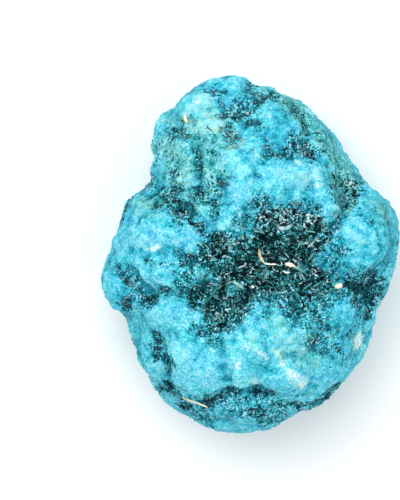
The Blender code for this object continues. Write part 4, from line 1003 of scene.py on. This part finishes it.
# single bits that lie on the stone. Each: tint at its two ends, half width, half thickness, how
# blunt it is, how far it stands out, then the points it runs through
bits = {
    "straw": [
        (0.4, 0.62, 0.17, 0.09, 0.3, 0.22, (0.8, 0.55), (0.85, 0.05), (1.02, -0.45), (1.3, -0.9)),
        (0.95, 1, 0.1, 0.06, 0.3, 0.2, (1.2, -0.86), (1.8, -0.95), (2.55, -0.98)),
        (0.95, 0.72, 0.21, 0.1, 0.4, 0.28, (3.35, -0.9), (3.85, -1), (4.35, -1.18)),
        (0.6, 0.98, 0.12, 0.07, 0.3, 0.18, (-6.9, -14.2), (-6.1, -14.52), (-5.2, -14.8), (-4.3, -15.2)),
    ],
    "pale": [
        (1, 0.9, 0.08, 0.06, 0.4, 0.16, (3.15, -1.62), (3.45, -1.8), (3.85, -1.78)),
        (0.6, 0.75, 0.27, 0.22, 0.6, 0.14, (8.25, -3.25), (8.7, -3.12), (9.05, -2.9)),
        (0.86, 0.5, 0.2, 0.14, 0.5, 0.12, (-6.55, 13.85), (-6.5, 13.45), (-6.3, 13.05)),
        (0.95, 0.9, 0.14, 0.12, 0.6, 0.1, (0, -3.15), (0.32, -3.26)),
    ],
    "shards": [
        (0.94, 0.88, 0.17, 0.1, 0.35, 0.26, (-1.8, -2.7), (-1.2, -3), (-0.7, -3.4)),
        (0.96, 0.72, 0.14, 0.07, 0.35, 0.22, (4.15, -1.1), (4.75, -1.42), (5.4, -1.8)),
        (0.62, 0.72, 0.12, 0.06, 0.35, 0.22, (-0.8, -2.35), (-0.35, -2.6), (0.05, -2.85)),
        (0.8, 0.6, 0.1, 0.06, 0.35, 0.22, (3.5, 2), (4, 2.12), (4.4, 2.2)),
        (0.89, 0.93, 0.24, 0.09, 0.6, 0.2, (3.35, 2.42), (3.95, 2.92)),
        (0.78, 0.86, 0.11, 0.06, 0.35, 0.22, (5.35, 2.35), (5.9, 2.28), (6.4, 2.2)),
        (0.84, 0.7, 0.13, 0.06, 0.35, 0.24, (4.9, 1.3), (4.75, 0.95), (4.6, 0.6)),
        (0.6, 0.66, 0.11, 0.06, 0.35, 0.2, (3.1, -3.1), (3.4, -2.9), (3.75, -2.65)),
        (0.62, 0.74, 0.12, 0.06, 0.35, 0.22, (5.1, -3.5), (5.6, -3.15), (6.05, -2.75)),
        (0.6, 0.68, 0.1, 0.06, 0.3, 0.22, (-4.45, -4.75), (-3.85, -4), (-3.3, -3.25)),
        (0.66, 0.6, 0.11, 0.06, 0.35, 0.22, (-2.45, -3.05), (-2.1, -3.4), (-1.85, -3.75)),
        (0.9, 0.84, 0.17, 0.09, 0.6, 0.18, (-0.3, 1.25), (0.1, 1.35)),
        (0.8, 0.84, 0.22, 0.1, 0.7, 0.14, (1.85, 2.05), (2.15, 1.95)),
        (0.74, 0.62, 0.12, 0.06, 0.35, 0.22, (1.6, -1.55), (2, -1.85), (2.2, -2.3)),
        (0.7, 0.84, 0.13, 0.06, 0.35, 0.22, (2.7, -0.2), (3.1, -0.45), (3.55, -0.45)),
        (0.66, 0.76, 0.1, 0.06, 0.35, 0.2, (0.4, -2.3), (0.8, -2), (1.3, -1.85)),
        (0.74, 0.8, 0.1, 0.06, 0.35, 0.2, (5.6, -0.6), (6, -0.2), (6.2, 0.2)),
        (0.55, 0.7, 0.1, 0.06, 0.35, 0.2, (-3.9, -1.4), (-3.5, -1.8), (-3.3, -2.3)),
        (0.05, 0.15, 0.05, 0.04, 0.3, 0.35, (2.3, 16), (2.22, 16.25), (2.1, 16.45)),
    ],
}


def layBits(name, ground, laid):
    # each bit is a tapered bar, laid straight across what it rests on, with uneven edges
    vertices, faces, tints = [], [], []
    steps, ring = 9, 8       # rows of points along a bit, and points in each row
    above = 40               # a height clear of the stone
    for firstTint, lastTint, halfWidth, halfThickness, blunt, lift, *route in laid:
        route = np.array(route, float)
        lengths = np.r_[0, np.cumsum(np.hypot(*np.diff(route, axis=0).T))]
        share = np.linspace(0, 1, steps)
        spots = np.stack([np.interp(share * lengths[-1], lengths, axis) for axis in route.T], axis=1)
        hits = [ground.ray_cast(Vector((x, y, above)), Vector((0, 0, -1))) for x, y in spots]
        heights = np.array([hit[0][2] for hit in hits])
        slope = np.polyval(np.polyfit(share, heights, 1), share)
        heights = slope + 0.5 * max(heights - slope) + lift
        runs = np.gradient(spots, axis=0)
        runs = runs / np.hypot(*runs.T)[:, None]
        up = sum((hit[1] for hit in hits), Vector()).normalized()
        start = len(vertices)
        for place, spot, height, run in zip(share, spots, heights, runs):
            along = Vector((*run, 0))
            across = up.cross(along).normalized()
            taper = max(1 - (2 * place - 1) ** 2, 0.02) ** blunt
            middle = Vector((*spot, height))
            for corner in range(ring):
                turn = 2 * math.pi * corner / ring
                point = middle + across * (math.cos(turn) * halfWidth * taper)
                point = point + up * (math.sin(turn) * halfThickness * taper)
                rough = noise.noise(point * 5) * 0.45 * halfWidth
                rough += noise.noise(point * 14) * 0.3 * halfWidth
                vertices.append(point + across * rough * math.copysign(1, math.cos(turn)))
                tints.append(firstTint + (lastTint - firstTint) * place)
        for step in range(steps - 1):
            for corner in range(ring):
                a, b = start + step * ring, start + (step + 1) * ring
                faces.append((a + corner, b + corner, b + (corner + 1) % ring, a + (corner + 1) % ring))
        faces.append([start + corner for corner in range(ring)])
        faces.append([start + (steps - 1) * ring + corner for corner in reversed(range(ring))])
    mesh = bpy.data.meshes.new(name)
    mesh.from_pydata(vertices, [], faces)
    shell = bmesh.new()
    shell.from_mesh(mesh)
    bmesh.ops.recalc_face_normals(shell, faces=shell.faces)
    shell.to_mesh(mesh)
    shell.free()
    setMask(mesh, "tint", np.array(tints))
    return linked(name, mesh)


def settle(piece, material, smooth=True):
    piece.data.transform(Matrix.Scale(mm, 4))
    piece.data.materials.clear()
    piece.data.materials.append(material)
    if smooth:
        piece.data.shade_smooth()
    else:
        piece.data.shade_flat()
    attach(piece, "root")
    print(piece.name, sum(len(p.vertices) - 2 for p in piece.data.polygons), "triangles")


studio = {
    # each lamp: where it stands, its width and its power
    "key": ((-0.12, 0.16, 0.44), 0.36, 1.35),
    "fill": ((0.20, -0.14, 0.40), 0.36, 0.45),
    "rim": ((0.05, 0.42, 0.16), 0.30, 0.2),
}
sky = 0.72
cameraAt = (-5.05, 0.45, 9.5)     # the point it looks down on, in mm
pictureHeight = 50                # mm, at that point


def makeStage():
    for name, (spot, size, power) in studio.items():
        lamp = bpy.data.lights.new(name, "AREA")
        lamp.size = size
        lamp.energy = power
        holder = linked(name, lamp)
        holder.location = spot
        holder.rotation_euler = (-holder.location).to_track_quat("-Z", "Y").to_euler()
    world = bpy.data.worlds.new("studio")
    world.use_nodes = True
    world.node_tree.nodes["Background"].inputs[0].default_value = (1.0, 1.0, 1.0, 1.0)
    world.node_tree.nodes["Background"].inputs[1].default_value = sky
    bpy.context.scene.world = world
    bpy.context.scene.view_settings.view_transform = "Standard"

    mesh = bpy.data.meshes.new("floor")
    half = 3.0               # in metres, like the lamps
    corners = [(-half, -half, 0), (half, -half, 0), (half, half, 0), (-half, half, 0)]
    mesh.from_pydata(corners, [], [(0, 1, 2, 3)])
    material, _, surface, _ = newMaterial("floor")
    surface.inputs["Base Color"].default_value = (0.95, 0.95, 0.95, 1.0)
    surface.inputs["Roughness"].default_value = 0.9
    mesh.materials.append(material)
    linked("floor", mesh)

    camera = bpy.data.cameras.new("camera")
    camera.sensor_fit = "VERTICAL"
    camera.sensor_height = 24
    camera.lens = 400
    camera.clip_start = 0.01
    holder = linked("camera", camera)
    x, y, z = cameraAt
    holder.location = Vector((x, y, z + pictureHeight * camera.lens / camera.sensor_height)) * mm
    bpy.context.scene.camera = holder


nugget = finerStone()
masks = markStone(nugget.data)
reliefStone(nugget.data, masks)
print("stone shaped")
blueStone = turquoiseMaterial(sugarGroup(), gritGroup())
grains = scatter("sugar_grains", nugget.data, "loose_clean", crystals, blueStone)
settle(grains, blueStone)
for name, mask, values, tints in (
    ("matrix_rubble", "loose_matrix", rubble, chipTints),
    ("matrix_chips", "loose_matrix", chips, chipTints),
    ("flakes", "loose_flaky", flakes, flakeTints),
):
    made = tintedMaterial(name, tints, (0.35, 0.6), plum=True)
    settle(scatter(name, nugget.data, mask, values, made), made, smooth=False)
ground = BVHTree.FromPolygons(
    [v.co for v in nugget.data.vertices], [tuple(p.vertices) for p in nugget.data.polygons])
for name, key, tints, slot in (
    ("straw_slivers", "straw", strawTints, "straw"),
    ("pale_grains", "pale", paleTints, "grains"),
    ("shards", "shards", flakeTints, "matrix"),
):
    settle(layBits(name, ground, bits[key]), tintedMaterial(name, tints, (0.4, 0.65)))
settle(nugget, blueStone)
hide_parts("turquoise_nugget")
makeStage()
